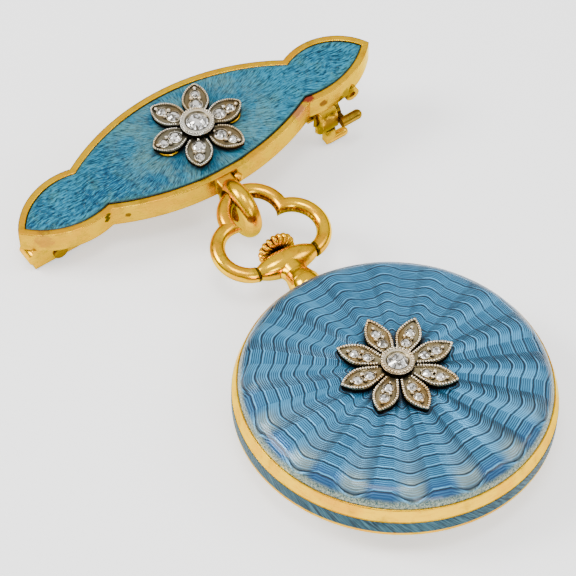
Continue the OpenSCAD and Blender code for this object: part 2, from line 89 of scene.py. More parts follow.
@dataclass(frozen=True)
class WatchPlace:
    """Where the watch lies: its middle on the surface and the level of its rim."""

    centre: tuple[float, float, float] = (0.044, -12.872, 0.0)
    rim_z: float = 4.5
    stem_z: float = 3.95
    crossbar_y: float = 17.7

    def matrix(self, y: float = 0.0, z: float = 0.0) -> Matrix:
        """Returns the placement, in metres, of axes at a point of the watch's middle line."""
        middle_x, middle_y, middle_z = self.centre
        return Matrix.Translation(Vector((middle_x, middle_y + y, middle_z + z)) * MM)

    def crossbar(self) -> Matrix:
        """Returns the placement, in metres, of the crossbar's axes."""
        return self.matrix(self.crossbar_y, self.stem_z)


@dataclass(frozen=True)
class BroochPlace:
    """Where the brooch lies: its middle, its turn and its lean."""

    centre: tuple[float, float, float] = (0.044, 20.528, 6.85)
    turn: float = 3.17
    roll: float = 4.65
    rise: float = 5.25

    def rotation(self) -> Matrix:
        """Returns the brooch's rotation as a 3 by 3 matrix."""
        turns = ((self.turn, "Z"), (self.roll, "X"), (-self.rise, "Y"))
        made = Matrix.Identity(3)
        for angle, axis in turns:
            made = made @ Matrix.Rotation(math.radians(angle), 3, axis)
        return made

    def point(self, x: float, y: float, z: float) -> Vector:
        """Turns a point of the brooch into the part's frame."""
        return self.rotation() @ Vector((x, y, z)) + Vector(self.centre)

    def matrix(self) -> Matrix:
        """Returns the brooch's placement in metres."""
        return Matrix.Translation(Vector(self.centre) * MM) @ self.rotation().to_4x4()


@dataclass(frozen=True)
class Pleats:
    """The pleats cut under the back's enamel: their number, their turn and how flat their valleys are."""

    count: int = 16
    turn: float = 40.1
    flat: float = 0.2

    def gain(self) -> float:
        """Returns what brings the crests back to 1 after the flats are taken off."""
        return 1 / (1 - self.flat)


# Shader graphs and finishes


class Graph:
    """A material's node tree, with short calls for the nodes that the finishes use."""

    def __init__(self, name: str) -> None:
        """Starts an empty material.

        Args:
            name: Name of the material.
        """
        self.material = bpy.data.materials.new(name)
        self.material.use_nodes = True
        self.tree = self.material.node_tree
        self.tree.nodes.clear()
        self.output = self.tree.nodes.new("ShaderNodeOutputMaterial")

    def node(self, kind: str, inputs: dict | None = None, **props: object) -> bpy.types.Node:
        """Adds a node.

        Args:
            kind: Blender's type name of the node.
            inputs: Values or sockets for its inputs, by name or number.
            **props: Properties set on the node.

        Returns:
            The new node.
        """
        made = self.tree.nodes.new(kind)
        for key, value in props.items():
            setattr(made, key, value)
        for key, value in (inputs or {}).items():
            self.feed(made.inputs[key], value)
        return made

    def feed(self, socket: Socket, value: Value) -> None:
        """Links or sets one input socket.

        Args:
            socket: The input.
            value: A socket to link from, or a plain value.
        """
        if isinstance(value, Socket):
            self.tree.links.new(value, socket)
        elif isinstance(value, tuple) and len(value) == 3 and len(socket.default_value) == 4:
            socket.default_value = (*value, 1.0)
        else:
            socket.default_value = value

    def math(self, op: str, a: Value, b: Value = 0.0) -> Socket:
        """Joins two numbers or sockets with a Math node."""
        return self.node("ShaderNodeMath", {0: a, 1: b}, operation=op).outputs[0]

    def plus(self, a: Value, b: Value) -> Socket:
        """Adds two numbers or sockets."""
        return self.math("ADD", a, b)

    def minus(self, a: Value, b: Value) -> Socket:
        """Takes the second number or socket from the first."""
        return self.math("SUBTRACT", a, b)

    def times(self, first: Value, *others: Value) -> Socket:
        """Multiplies numbers or sockets.

        Args:
            first: First number or socket.
            *others: The ones that it is multiplied by.

        Returns:
            The product's socket.
        """
        for other in others:
            first = self.math("MULTIPLY", first, other)
        return first

    def wave(self, angle: Socket) -> Socket:
        """Turns an angle into a wave from 0 to 1 that is 1 at no angle."""
        return self.times(self.plus(self.math("COSINE", angle), 1.0), 0.5)

    def radius(self, x: Socket, y: Socket) -> Socket:
        """Returns the distance from the upright axis."""
        return self.math("SQRT", self.plus(self.times(x, x), self.times(y, y)))

    def span(self, value: Value, low: float, high: float, start: float = 0.0, end: float = 1.0) -> Socket:
        """Maps the range from low to high smoothly to the one from start to end."""
        inputs = {0: value, 1: low, 2: high, 3: start, 4: end}
        return self.node("ShaderNodeMapRange", inputs, interpolation_type="SMOOTHSTEP").outputs[0]

    def mix(self, share: Value, a: Value, b: Value) -> Socket:
        """Mixes two colours or sockets, with the given share of the second."""
        return self.node("ShaderNodeMix", {0: share, 6: a, 7: b}, data_type="RGBA").outputs[2]

    def blend(self, colour: Value, other: Value, by: Socket, low: float, high: float, share: float = 1.0,
              within: Value | None = None) -> Socket:
        """Mixes a second colour in where a value runs from low to high.

        Args:
            colour: First colour or socket.
            other: Second colour or socket.
            by: The value's socket.
            low: Value that gives none of the second colour.
            high: Value that gives its full share.
            share: Share of the second colour at high.
            within: Number or socket that the share is multiplied by.

        Returns:
            The mixed colour's socket.
        """
        amount = self.span(by, low, high, 0.0, share)
        if within is not None:
            amount = self.times(amount, within)
        return self.mix(amount, colour, other)

    def noise(self, where: Socket, scale: float, detail: float = 3.0, rough: float = 0.55) -> Socket:
        """Adds noise, with as many octaves as detail says and finer ones as strong as rough says."""
        inputs = {"Vector": where, "Scale": scale, "Detail": detail, "Roughness": rough}
        return self.node("ShaderNodeTexNoise", inputs).outputs["Fac"]

    def place(self) -> tuple[Socket, Socket, Socket, Socket]:
        """Reads the surface point in the piece's own axes, in millimetres.

        Returns:
            The vector's socket and the sockets of its three numbers.
        """
        object_place = self.node("ShaderNodeTexCoord").outputs["Object"]
        scaled = self.node("ShaderNodeVectorMath", {0: object_place, "Scale": 1 / MM}, operation="SCALE")
        where = scaled.outputs[0]
        return where, *self.node("ShaderNodeSeparateXYZ", {0: where}).outputs

    def vector(self, x: Value, y: Value, z: Value) -> Socket:
        """Makes a vector from three numbers or sockets."""
        return self.node("ShaderNodeCombineXYZ", {0: x, 1: y, 2: z}).outputs[0]

    def vectors(self, op: str, a: Value, b: Value, result: str = "Vector") -> Socket:
        """Joins two vectors or sockets with a Vector Math node and returns the output named."""
        return self.node("ShaderNodeVectorMath", {0: a, 1: b}, operation=op).outputs[result]

    def attribute(self, name: str) -> Socket:
        """Reads a number that the piece's points carry."""
        return self.node("ShaderNodeAttribute", attribute_name=name).outputs["Fac"]

    def openness(self, reach: float, samples: int) -> Socket:
        """Returns how open the surroundings are within a reach in millimetres, 1 where nothing is near."""
        inputs = {"Distance": reach * MM}
        return self.node("ShaderNodeAmbientOcclusion", inputs, samples=samples).outputs["AO"]

    def bump(self, height: Socket, depth: float, before: Socket | None = None) -> Socket:
        """Tilts the surface by a height.

        Args:
            height: Height from 0 to 1.
            depth: Millimetres that a height of 1 stands for.
            before: Normal to start from.

        Returns:
            The normal's socket.
        """
        inputs = {"Height": height, "Strength": 1.0, "Distance": depth * MM}
        if before is not None:
            inputs["Normal"] = before
        return self.node("ShaderNodeBump", inputs).outputs[0]

    def surface(self, inputs: dict) -> Material:
        """Ends the graph with one surface shader.

        Args:
            inputs: Values or sockets for the shader's inputs.

        Returns:
            The finished material.
        """
        shader = self.node("ShaderNodeBsdfPrincipled", inputs)
        self.tree.links.new(shader.outputs[0], self.output.inputs[0])
        return self.material


@dataclass(frozen=True)
class StainAndShade:
    """A patch on metal, of wear, of discolouring or of painted shade: its place, its reach, its colour and
    its strength.
    """

    at: tuple[float, float, float]
    reach: float
    colour: Colour
    strength: float


@dataclass(frozen=True)
class MetalFinish:
    """Polished metal with rub marks, painted shade in its hollows and on the faces that look down, and
    patches of wear, discolouring and painted shade.

    Rub, edge and hollow_reach are lengths: how deep the marks are, how round the edges look and within what
    reach nearby surfaces darken the hollows with painted shade.
    """

    name: str
    colour: Colour
    hollow_shade: Colour
    under: Colour
    roughness: float = 0.2
    rub: float = 0.004
    grain: float = 1.4
    edge: float = 0.07
    hollow_reach: float = 0.7
    tint: Colour = (1.0, 0.92, 0.26)
    stains_and_shade: tuple[StainAndShade, ...] = ()
    warmth: Colour = (0.92, 0.74, 0.5)
    drawn_out: tuple[float, float, float] = (0.7, 0.7, 9.0)

    def bare(self, g: Graph, where: Socket, cloud: Socket, scratch: Socket) -> Socket:
        """Colours the bare metal, browner in blotches and scratches and with painted shade on the faces that
        look down.

        Args:
            g: The graph.
            where: The surface point.
            cloud: Broad noise.
            scratch: Noise drawn out into scratches.

        Returns:
            The colour's socket.
        """
        warm = tuple(channel * share for channel, share in zip(self.colour, self.warmth))
        blotch = g.noise(where, scale=0.8, detail=3.0, rough=0.7)
        normal = g.node("ShaderNodeTexCoord").outputs["Normal"]
        facing = g.node("ShaderNodeSeparateXYZ", {0: normal}).outputs[2]
        colour = g.blend(self.colour, warm, by=cloud, low=0.38, high=0.66)
        colour = g.blend(colour, self.under, by=blotch, low=0.5, high=0.72, share=0.5)
        colour = g.blend(colour, self.under, by=scratch, low=0.5, high=0.7, share=0.35)
        # Painted shade: faces that look down turn browner.
        return g.blend(colour, self.under, by=facing, low=0.25, high=-0.4, share=0.85)

    def worn(self, g: Graph, where: Socket, colour: Socket) -> Socket:
        """Paints shade on the inner side of the bow's wire, darkens its end seams, and adds the patches of
        wear, discolouring and painted shade.

        Args:
            g: The graph.
            where: The surface point.
            colour: Colour of the bare metal.

        Returns:
            The colour's socket.
        """
        # Painted shade on the inner side of the bow's wire, and darker end seams.
        patchy = g.span(g.noise(where, scale=4.5, detail=4.0, rough=0.8), 0.35, 0.6, 0.45, 1.5)
        inner_shade = g.times(g.attribute("inner_side_shade"), patchy)
        colour = g.blend(colour, self.hollow_shade, by=inner_shade, low=0.2, high=0.9, share=0.93)
        for spot in self.stains_and_shade:
            away = g.vectors("DISTANCE", where, spot.at, "Value")
            ragged = g.span(g.noise(where, scale=2.6, detail=4.0, rough=0.7), 0.3, 0.7, 0.5, 1.2)
            blot = g.times(ragged, g.span(away, spot.reach, 0.0))
            colour = g.blend(colour, spot.colour, by=blot, low=0.2, high=0.5, share=spot.strength)
        return colour

    def make(self) -> Material:
        """Builds the material.

        Returns:
            The material.
        """
        g = Graph(self.name)
        where, _, _, _ = g.place()
        cloud = g.noise(where, scale=0.45, detail=4.0)
        fine = g.noise(where, scale=self.grain * 4, detail=3.0)
        scratch = g.noise(g.vectors("MULTIPLY", where, self.drawn_out), scale=1.2, detail=4.0, rough=0.7)
        colour = self.worn(g, where, self.bare(g, where, cloud, scratch))
        # Painted shade: surfaces closed in by their surroundings darken.
        shade = g.openness(self.hollow_reach, samples=6)
        colour = g.blend(colour, self.hollow_shade, by=shade, low=0.72, high=0.25, share=0.94)
        dull = g.span(scratch, 0.55, 0.75, 0.0, 0.12)
        rough = g.plus(g.span(cloud, 0.35, 0.7, self.roughness - 0.05, self.roughness + 0.08), dull)
        soft_edge = g.node("ShaderNodeBevel", {"Radius": self.edge * MM}, samples=6).outputs[0]
        height = g.plus(g.times(fine, 0.6), g.times(scratch, 0.8))
        return g.surface({"Base Color": colour, "Metallic": 1.0, "Roughness": rough,
                          "Normal": g.bump(height, self.rub, soft_edge), "Specular Tint": self.tint})


@dataclass(frozen=True)
class PleatCuts:
    """Sockets of the pattern that is cut under the pleated enamel.

    Each runs from 0 to 1, apart from radius, in millimetres, and facet, which is below 0 on lit flanks.
    """

    mottle: Socket
    grit: Socket
    radius: Socket
    crest: Socket
    groove: Socket
    glint: Socket
    fine: Socket
    shown: Socket
    facet: Socket
    near: Socket
    edge: Socket


@dataclass(frozen=True)
class PleatedEnamel:
    """Translucent blue enamel over a ground cut with scalloped rings and radial pleats.

    Ring is the distance between two scalloped lines, wave how far they bulge, wobble how far they wander,
    border the radius where the pale border starts, and front the direction of the photograph's camera.
    """

    name: str = "pleated_blue_enamel"
    pleats: Pleats = Pleats()
    wave: float = 0.5
    ring: float = 1.1
    fine_lines: int = 6
    wobble: float = 0.16
    border: float = 13.25
    border_ease: float = 0.3
    front: float = 236.0
    shade_reach: float = 1.3
    middle: Colour = (0.004, 0.100, 0.215)
    light: Colour = (0.10, 0.52, 0.92)
    deep: Colour = (0.001, 0.010, 0.024)
    pale: Colour = (0.40, 0.46, 0.32)
    pale_hollow: Colour = (0.03, 0.08, 0.08)
    cream_reflection: Colour = (0.36, 0.44, 0.36)
    bright: Colour = (0.0, 0.065, 0.22)
    painted_shade: Colour = (0.002, 0.006, 0.012)

    def crest(self, g: Graph, angle: Socket) -> Socket:
        """Returns the outward bulge of the scallops, from 0 on the flats to 1 on the crests."""
        above_flat = g.times(g.minus(g.wave(angle), self.pleats.flat), self.pleats.gain())
        return g.math("MAXIMUM", above_flat, 0.0)

    def cuts(self, g: Graph) -> PleatCuts:
        """Works out the cut pattern and the side that faces the photograph's camera.

        Args:
            g: The graph.

        Returns:
            The pattern's sockets.
        """
        where, x, y, _ = g.place()
        grit = g.noise(where, scale=7.0, detail=3.0, rough=0.8)
        mottle = g.noise(where, scale=0.35, detail=4.0, rough=0.6)
        radius = g.radius(x, y)
        unsteady = g.times(g.minus(g.noise(where, scale=0.7, detail=2.0), 0.5), self.wobble)
        reach = g.plus(radius, unsteady)
        turned = g.math("ARCTAN2", y, x)
        angle = g.times(g.minus(turned, math.radians(self.pleats.turn)), float(self.pleats.count))
        crest = self.crest(g, angle)
        ring_at = g.minus(reach, g.times(crest, self.wave))
        from_line = g.minus(g.math("FRACT", g.math("DIVIDE", ring_at, self.ring)), 0.5)
        from_glint = g.minus(from_line, g.times(g.minus(crest, 0.4), 0.24))
        flank = g.times(g.math("SINE", angle), g.span(crest, 0.0, 0.12))
        from_front = g.minus(turned, math.radians(self.front))
        sideways = g.math("ABSOLUTE", g.math("SINE", from_front))
        toward = g.plus(g.math("COSINE", from_front), g.times(g.minus(mottle, 0.5), 0.8))
        border_at = g.plus(reach, g.times(grit, 0.35))
        return PleatCuts(
            mottle=mottle, grit=grit, radius=radius, crest=crest,
            groove=g.span(g.math("ABSOLUTE", from_line), 0.095, 0.02),
            glint=g.span(g.math("ABSOLUTE", from_glint), 0.085, 0.0),
            fine=g.wave(g.times(ring_at, FULL_TURN * self.fine_lines / self.ring)),
            shown=g.span(g.noise(where, scale=0.55, detail=3.0, rough=0.6), 0.32, 0.62, 0.35, 1.0),
            facet=g.times(flank, g.span(sideways, 0.3, 0.95, 0.55, 1.0)),
            near=g.span(toward, 0.0, 0.7),
            edge=g.span(border_at, self.border, self.border + self.border_ease, 0.0, 0.92))

    def ground(self, g: Graph, cuts: PleatCuts) -> Socket:
        """Paints light and shade on the pleats' flanks and colours the fine lines.

        Args:
            g: The graph.
            cuts: The cut pattern.

        Returns:
            The colour's socket.
        """
        colour = g.blend(self.middle, self.light, by=cuts.mottle, low=0.3, high=0.72, share=0.2)
        # Painted light and shade: one flank of each pleat darker, the other lighter.
        colour = g.blend(colour, self.deep, by=cuts.facet, low=0.0, high=1.0, share=0.86)
        colour = g.blend(colour, self.light, by=cuts.facet, low=-0.3, high=-1.0, share=0.5)
        colour = g.blend(colour, self.light, by=cuts.fine, low=0.45, high=1.0, share=0.6, within=cuts.shown)
        return g.blend(colour, self.deep, by=cuts.fine, low=0.55, high=0.0, share=0.8, within=cuts.shown)

    def reflections(self, g: Graph, cuts: PleatCuts, colour: Socket) -> Socket:
        """Paints the pale and the blue reflections near the front edge, on the side that faces the camera.

        Args:
            g: The graph.
            cuts: The cut pattern.
            colour: Colour of the ground.

        Returns:
            The colour's socket.
        """
        streak = g.times(g.span(cuts.radius, 7.0, 12.0), cuts.crest, cuts.near)
        colour = g.mix(g.times(streak, 0.16), colour, self.cream_reflection)
        shoulder = g.times(g.span(cuts.radius, 11.0, 12.2), g.span(cuts.radius, 13.2, 12.7))
        milky = g.times(g.span(cuts.crest, 0.15, 1.0), shoulder, cuts.near)
        colour = g.mix(g.times(milky, 0.45), colour, self.cream_reflection)
        rim_band = g.times(g.span(cuts.radius, 11.4, 12.6), g.span(cuts.crest, 0.75, 0.0))
        return g.mix(g.times(rim_band, cuts.near, 0.7), colour, self.bright)

    def lines(self, g: Graph, cuts: PleatCuts, colour: Socket) -> Socket:
        """Adds the scalloped lines with their painted glints, the pale border and the painted shade under the
        flower.

        Args:
            g: The graph.
            cuts: The cut pattern.
            colour: Colour with the reflections.

        Returns:
            The colour's socket.
        """
        colour = g.blend(colour, self.deep, by=cuts.radius, low=11.6, high=13.0, share=0.3)
        colour = g.mix(g.times(cuts.glint, g.span(cuts.mottle, 0.3, 0.6, 0.55, 0.95)), colour, self.light)
        colour = g.mix(g.times(cuts.groove, g.span(cuts.mottle, 0.2, 0.5, 0.8, 0.97)), colour, self.deep)
        border = g.blend(self.pale, self.pale_hollow, by=cuts.grit, low=0.4, high=0.6)
        colour = g.mix(cuts.edge, colour, border)
        # Painted shade on the enamel round the flower.
        shade = g.openness(self.shade_reach, samples=10)
        under_flower = g.span(cuts.radius, 7.2, 6.2)
        return g.blend(colour, self.painted_shade, by=shade, low=0.9, high=0.5, share=0.96, within=under_flower)

    def make(self) -> Material:
        """Builds the material.

        Returns:
            The material.
        """
        g = Graph(self.name)
        cuts = self.cuts(g)
        colour = self.lines(g, cuts, self.reflections(g, cuts, self.ground(g, cuts)))
        relief = g.plus(g.times(cuts.crest, 0.7), g.times(g.minus(1.0, cuts.groove), 0.3))
        relief = g.plus(relief, g.times(cuts.fine, 0.1))
        relief = g.plus(relief, g.times(cuts.grit, cuts.edge, 0.12))
        rough = g.span(cuts.fine, 0.0, 1.0, 0.45, 0.32)
        return g.surface({"Base Color": colour, "Metallic": 0.5, "Roughness": rough,
                          "Normal": g.bump(relief, 0.2), "Coat Weight": 0.4, "Coat Roughness": 0.06,
                          "Coat IOR": 1.45})


@dataclass(frozen=True)
class RayedEnamel:
    """Translucent blue enamel over a ground cut with fine short strokes that ray from the flower.

    Stroke says how fine the strokes are round the flower, wide_share how fine the coarse ones are against
    them, and sway how far the strokes bend.
    """

    name: str = "rayed_blue_enamel"
    stroke: float = 105.0
    wide_share: float = 0.3
    sway: float = 0.12
    shade_reach: float = 1.1
    middle: Colour = (0.002, 0.075, 0.165)
    light: Colour = (0.030, 0.31, 0.46)
    deep: Colour = (0.001, 0.013, 0.034)
    green: Colour = (0.05, 0.17, 0.14)
    pale: Colour = (0.13, 0.27, 0.26)
    line: Colour = (0.004, 0.016, 0.012)
    painted_shade: Colour = (0.002, 0.005, 0.008)

    def strokes(self, g: Graph, where: Socket, x: Socket, y: Socket, reach: Socket) -> tuple[Socket, Socket]:
        """Makes the noises that are drawn out along rays from the flower.

        Args:
            g: The graph.
            where: The surface point.
            x: Its place along the brooch.
            y: Its place across the brooch.
            reach: Its distance from the flower's middle.

        Returns:
            The sockets of the fine and of the coarse strokes.
        """
        sway = g.times(g.minus(g.noise(where, scale=0.22, detail=1.0), 0.5), self.sway)
        angle = g.plus(g.math("ARCTAN2", y, x), sway)
        across, along = g.math("COSINE", angle), g.math("SINE", angle)
        wide = self.stroke * self.wide_share
        fine_place = g.vector(g.times(across, self.stroke), g.times(along, self.stroke), g.times(reach, 1.5))
        wide_place = g.vector(g.times(across, wide), g.times(along, wide), g.times(reach, 0.5))
        fine = g.noise(fine_place, scale=1.0, detail=2.0, rough=0.6)
        return fine, g.noise(wide_place, scale=1.0, detail=3.0, rough=0.6)

    def make(self) -> Material:
        """Builds the material.

        Returns:
            The material.
        """
        g = Graph(self.name)
        where, x, y, _ = g.place()
        reach = g.radius(x, y)
        rays, coarse = self.strokes(g, where, x, y, reach)
        speckle = g.noise(where, scale=4.0, detail=3.0, rough=0.7)
        mottle = g.noise(where, scale=0.42, detail=4.0, rough=0.62)
        patch = g.noise(where, scale=0.17, detail=3.0, rough=0.6)
        colour = g.blend(self.middle, self.light, by=patch, low=0.42, high=0.62, share=0.35)
        colour = g.blend(colour, self.light, by=x, low=-4.0, high=9.0, share=0.3)
        colour = g.blend(colour, self.green, by=mottle, low=0.48, high=0.68, share=0.6)
        close = g.times(g.span(reach, 9.5, 5.5), g.span(mottle, 0.36, 0.56))
        colour = g.mix(g.times(close, 0.6), colour, self.pale)
        colour = g.blend(colour, self.deep, by=coarse, low=0.54, high=0.32, share=0.55)
        colour = g.blend(colour, self.light, by=rays, low=0.5, high=0.64, share=0.75)
        colour = g.blend(colour, self.deep, by=rays, low=0.5, high=0.36, share=0.9)
        colour = g.blend(colour, self.pale, by=speckle, low=0.55, high=0.72, share=0.45)
        colour = g.blend(colour, self.deep, by=speckle, low=0.44, high=0.28, share=0.5)
        gap = g.attribute("edge_gap")
        colour = g.blend(colour, self.green, by=gap, low=0.5, high=0.12, share=0.4)
        colour = g.blend(colour, self.line, by=gap, low=0.17, high=0.07, share=0.95)
        # Painted shade where the frame's walls and the flower close the enamel in.
        shade = g.openness(self.shade_reach, samples=8)
        colour = g.blend(colour, self.painted_shade, by=shade, low=0.85, high=0.35, share=0.96)
        relief = g.plus(g.times(rays, 0.7), g.times(speckle, 0.3))
        rough = g.span(rays, 0.3, 0.7, 0.5, 0.35)
        return g.surface({"Base Color": colour, "Metallic": 0.3, "Roughness": rough,
                          "Normal": g.bump(relief, 0.07), "Specular IOR Level": 0.15, "Coat Weight": 0.15,
                          "Coat Roughness": 0.12, "Coat IOR": 1.45})


@dataclass(frozen=True)
class HatchedEnamel:
    """Dark blue enamel of the case middle over slanting hatch lines."""

    name: str = "hatched_dark_enamel"
    lines: float = 14.0
    slant: float = 0.9
    base: Colour = (0.004, 0.032, 0.052)
    light: Colour = (0.05, 0.17, 0.22)
    deep: Colour = (0.001, 0.006, 0.010)

    def make(self) -> Material:
        """Builds the material.

        Returns:
            The material.
        """
        g = Graph(self.name)
        where, x, y, z = g.place()
        middle_x, middle_y, _ = WatchPlace().centre
        angle = g.math("ARCTAN2", g.minus(y, middle_y), g.minus(x, middle_x))
        along = g.plus(g.times(angle, self.lines), g.times(z, self.slant))
        hatch_place = g.vector(g.times(along, 6.5), g.times(z, 0.7), g.math("COSINE", angle))
        hatch = g.noise(hatch_place, scale=1.0, detail=3.0, rough=0.6)
        grit = g.noise(where, scale=2.2, detail=3.0, rough=0.7)
        colour = g.blend(self.base, self.light, by=hatch, low=0.4, high=0.68, share=0.8)
        colour = g.blend(colour, self.deep, by=hatch, low=0.48, high=0.3, share=0.8)
        colour = g.blend(colour, self.deep, by=grit, low=0.6, high=0.8, share=0.5)
        return g.surface({"Base Color": colour, "Metallic": 0.2, "Roughness": 0.45,
                          "Normal": g.bump(hatch, 0.05), "Specular IOR Level": 0.12})


@dataclass(frozen=True)
class StoneFinish:
    """Cut stone: clear facets that mirror their surroundings, over painted reflections: each facet a grey
    depth or a pale shade, with painted white sparkles.
    """

    name: str = "cut_stone"
    depth: Colour = (0.09, 0.075, 0.05)
    pale_facet: Colour = (0.86, 0.83, 0.76)

    def make(self) -> Material:
        """Builds the material.

        Returns:
            The material.
        """
        g = Graph(self.name)
        where, _, _, _ = g.place()
        facet = g.node("ShaderNodeNewGeometry").outputs["True Normal"]
        cut = g.noise(g.vectors("ADD", facet, where), scale=2.1, detail=1.0, rough=0.6)
        spark = g.noise(where, scale=3.4, detail=2.0, rough=0.6)
        # Painted reflections: each facet grey or pale, then white sparkles.
        colour = g.blend(self.depth, self.pale_facet, by=cut, low=0.42, high=0.6)
        colour = g.blend(colour, WHITE, by=spark, low=0.5, high=0.62, share=0.85)
        normal = g.bump(g.noise(where, scale=1.6, detail=1.0), 0.16)
        return g.surface({"Base Color": colour, "Metallic": 0.75, "Roughness": 0.07, "Normal": normal,
                          "Coat Weight": 1.0, "Coat Roughness": 0.02, "Coat IOR": 1.9})


@dataclass(frozen=True)
class PlainFinish:
    """A simple dial-side finish with slight mottling."""

    name: str
    colour: Colour
    second: Colour
    metal: float = 0.0
    roughness: float = 0.4
    alpha: float = 1.0
    scale: float = 1.0

    def make(self) -> Material:
        """Builds the material.

        Returns:
            The material.
        """
        g = Graph(self.name)
        where, _, _, _ = g.place()
        grain = g.noise(where, scale=self.scale, detail=3.0)
        colour = g.blend(self.colour, self.second, by=grain, low=0.35, high=0.65)
        inputs = {"Base Color": colour, "Metallic": self.metal, "Roughness": self.roughness,
                  "Normal": g.bump(grain, 0.004)}
        if self.alpha < 1.0:
            inputs |= {"Alpha": self.alpha, "Coat Weight": 1.0, "Coat Roughness": 0.02}
        return g.surface(inputs)


Finish = MetalFinish | PleatedEnamel | RayedEnamel | HatchedEnamel | StoneFinish | PlainFinish

# Colours that several finishes share
YELLOW: Colour = (0.96, 0.54, 0.0)
BROWN_HOLLOW_SHADE: Colour = (0.06, 0.036, 0.004)
OLIVE_SHADE_AND_WEAR: Colour = (0.32, 0.21, 0.012)
SILVER_SHADE_AND_WEAR: Colour = (0.2, 0.17, 0.12)
DARK_SILVER: Colour = (0.02, 0.015, 0.01)


def brooch_stains_and_shade() -> tuple[StainAndShade, ...]:
    """Lists the red, rubbed and dark patches of the brooch's frame; the dark ones at the loop and under the
    catch are painted shade.

    Returns:
        The stains, at their places in the part's frame.
    """
    # Place in the brooch's axes, reach, colour and strength
    spots = (
        ((10.6, -2.5, 0.1), 1.05, (0.36, 0.035, 0.03), 0.95),
        ((9.1, -3.4, -0.1), 1.5, (0.62, 0.20, 0.09), 0.8),
        ((12.0, -3.1, -1.1), 0.8, (0.13, 0.035, 0.02), 0.9),
        ((-11.8, -3.05, -0.4), 0.6, (0.03, 0.015, 0.004), 1.0),
        ((-11.85, -3.1, -0.9), 0.6, (0.03, 0.015, 0.004), 1.0),
        ((-17.6, -1.6, -0.9), 1.8, (0.36, 0.13, 0.03), 0.6),
        # These two, at the loop, are painted shade.
        ((-1.2, -10.7, -0.8), 0.75, (0.20, 0.08, 0.015), 1.0),
        ((-1.6, -6.3, -1.1), 1.3, (0.05, 0.022, 0.004), 0.95),
        ((-9.97, -3.54, -1.2), 0.5, (0.10, 0.04, 0.01), 0.9),
        # These two, under the catch, are painted shade.
        ((14.8, -2.9, -2.2), 1.7, (0.13, 0.06, 0.01), 0.85),
        ((12.6, -3.3, -4.6), 2.6, (0.10, 0.045, 0.008), 0.9),
    )
    point = BroochPlace().point
    return tuple(StainAndShade(tuple(point(*at)), reach, colour, strength) for at, reach, colour, strength in spots)


def made_by(finish: Finish) -> Material:
    """Declares a material that its finish builds when the finishes are made."""
    return field(default_factory=finish.make)


@dataclass
class Finishes:
    """All finishes of the piece, each made once."""

    gold: Material = made_by(MetalFinish(
        "polished_gold", YELLOW, BROWN_HOLLOW_SHADE, OLIVE_SHADE_AND_WEAR, hollow_reach=1.5))
    frame_gold: Material = made_by(MetalFinish(
        "brooch_gold", YELLOW, BROWN_HOLLOW_SHADE, OLIVE_SHADE_AND_WEAR,
        roughness=0.24, rub=0.01, grain=1.8, edge=0.22, hollow_reach=0.9, stains_and_shade=brooch_stains_and_shade()))
    # Darker gold for the pin and the catch, as painted shade under the brooch.
    shade_darkened_gold: Material = made_by(MetalFinish(
        "shade_darkened_gold", colour=(0.37, 0.21, 0.014), hollow_shade=(0.05, 0.025, 0.005), under=(0.10, 0.05, 0.006),
        roughness=0.3, rub=0.01, grain=1.8, edge=0.1, hollow_reach=1.8))
    silver: Material = made_by(MetalFinish(
        "warm_silver", colour=(0.92, 0.82, 0.64), hollow_shade=(0.05, 0.035, 0.018), under=SILVER_SHADE_AND_WEAR,
        roughness=0.24, rub=0.004, grain=2.0, edge=0.02, hollow_reach=0.2, tint=WHITE))
    grey_silver: Material = made_by(MetalFinish(
        "grey_silver", colour=(0.86, 0.83, 0.74), hollow_shade=(0.04, 0.034, 0.024), under=SILVER_SHADE_AND_WEAR,
        roughness=0.26, rub=0.005, grain=2.0, edge=0.02, hollow_reach=0.22, tint=WHITE))
    # Dark for tarnished silver and for painted shadow on the petals' walls and the collet's wall.
    tarnish_and_shade: Material = made_by(MetalFinish(
        "tarnished_silver_and_shade", colour=DARK_SILVER, hollow_shade=(0.004, 0.004, 0.004), under=DARK_SILVER,
        roughness=0.5, rub=0.006, grain=2.0, edge=0.02, tint=DARK_SILVER))
    recess: Material = made_by(MetalFinish(
        "browned_silver", colour=(0.40, 0.33, 0.19), hollow_shade=(0.012, 0.008, 0.003), under=(0.05, 0.04, 0.02),
        roughness=0.36, rub=0.02, grain=1.2, edge=0.02, hollow_reach=0.5, tint=DARK_SILVER))
    grey_recess: Material = made_by(MetalFinish(
        "dulled_silver", colour=(0.22, 0.20, 0.14), hollow_shade=(0.012, 0.01, 0.006), under=(0.05, 0.045, 0.03),
        roughness=0.34, rub=0.02, grain=1.2, edge=0.02, hollow_reach=0.5, tint=DARK_SILVER))
    pleated: Material = made_by(PleatedEnamel())
    rayed: Material = made_by(RayedEnamel())
    hatched: Material = made_by(HatchedEnamel())
    stone: Material = made_by(StoneFinish())
    crystal: Material = made_by(PlainFinish(
        "watch_glass", (0.95, 0.97, 1.0), (0.92, 0.95, 0.98), roughness=0.03, alpha=0.14))
    dial: Material = made_by(PlainFinish("white_dial", (0.86, 0.85, 0.8), (0.8, 0.79, 0.73), roughness=0.25))
    ink: Material = made_by(PlainFinish("dial_black", (0.01, 0.01, 0.012), (0.02, 0.02, 0.02)))
    blued: Material = made_by(PlainFinish(
        "blued_steel_hands", (0.02, 0.05, 0.22), (0.03, 0.07, 0.3), metal=1.0, roughness=0.25))
    brass: Material = made_by(PlainFinish(
        "movement_plate", (0.62, 0.48, 0.24), (0.55, 0.41, 0.2), metal=1.0, roughness=0.38, scale=3.0))
    steel: Material = made_by(PlainFinish(
        "polished_steel", (0.58, 0.58, 0.6), (0.5, 0.5, 0.52), metal=1.0, roughness=0.25, scale=3.0))


# Meshes


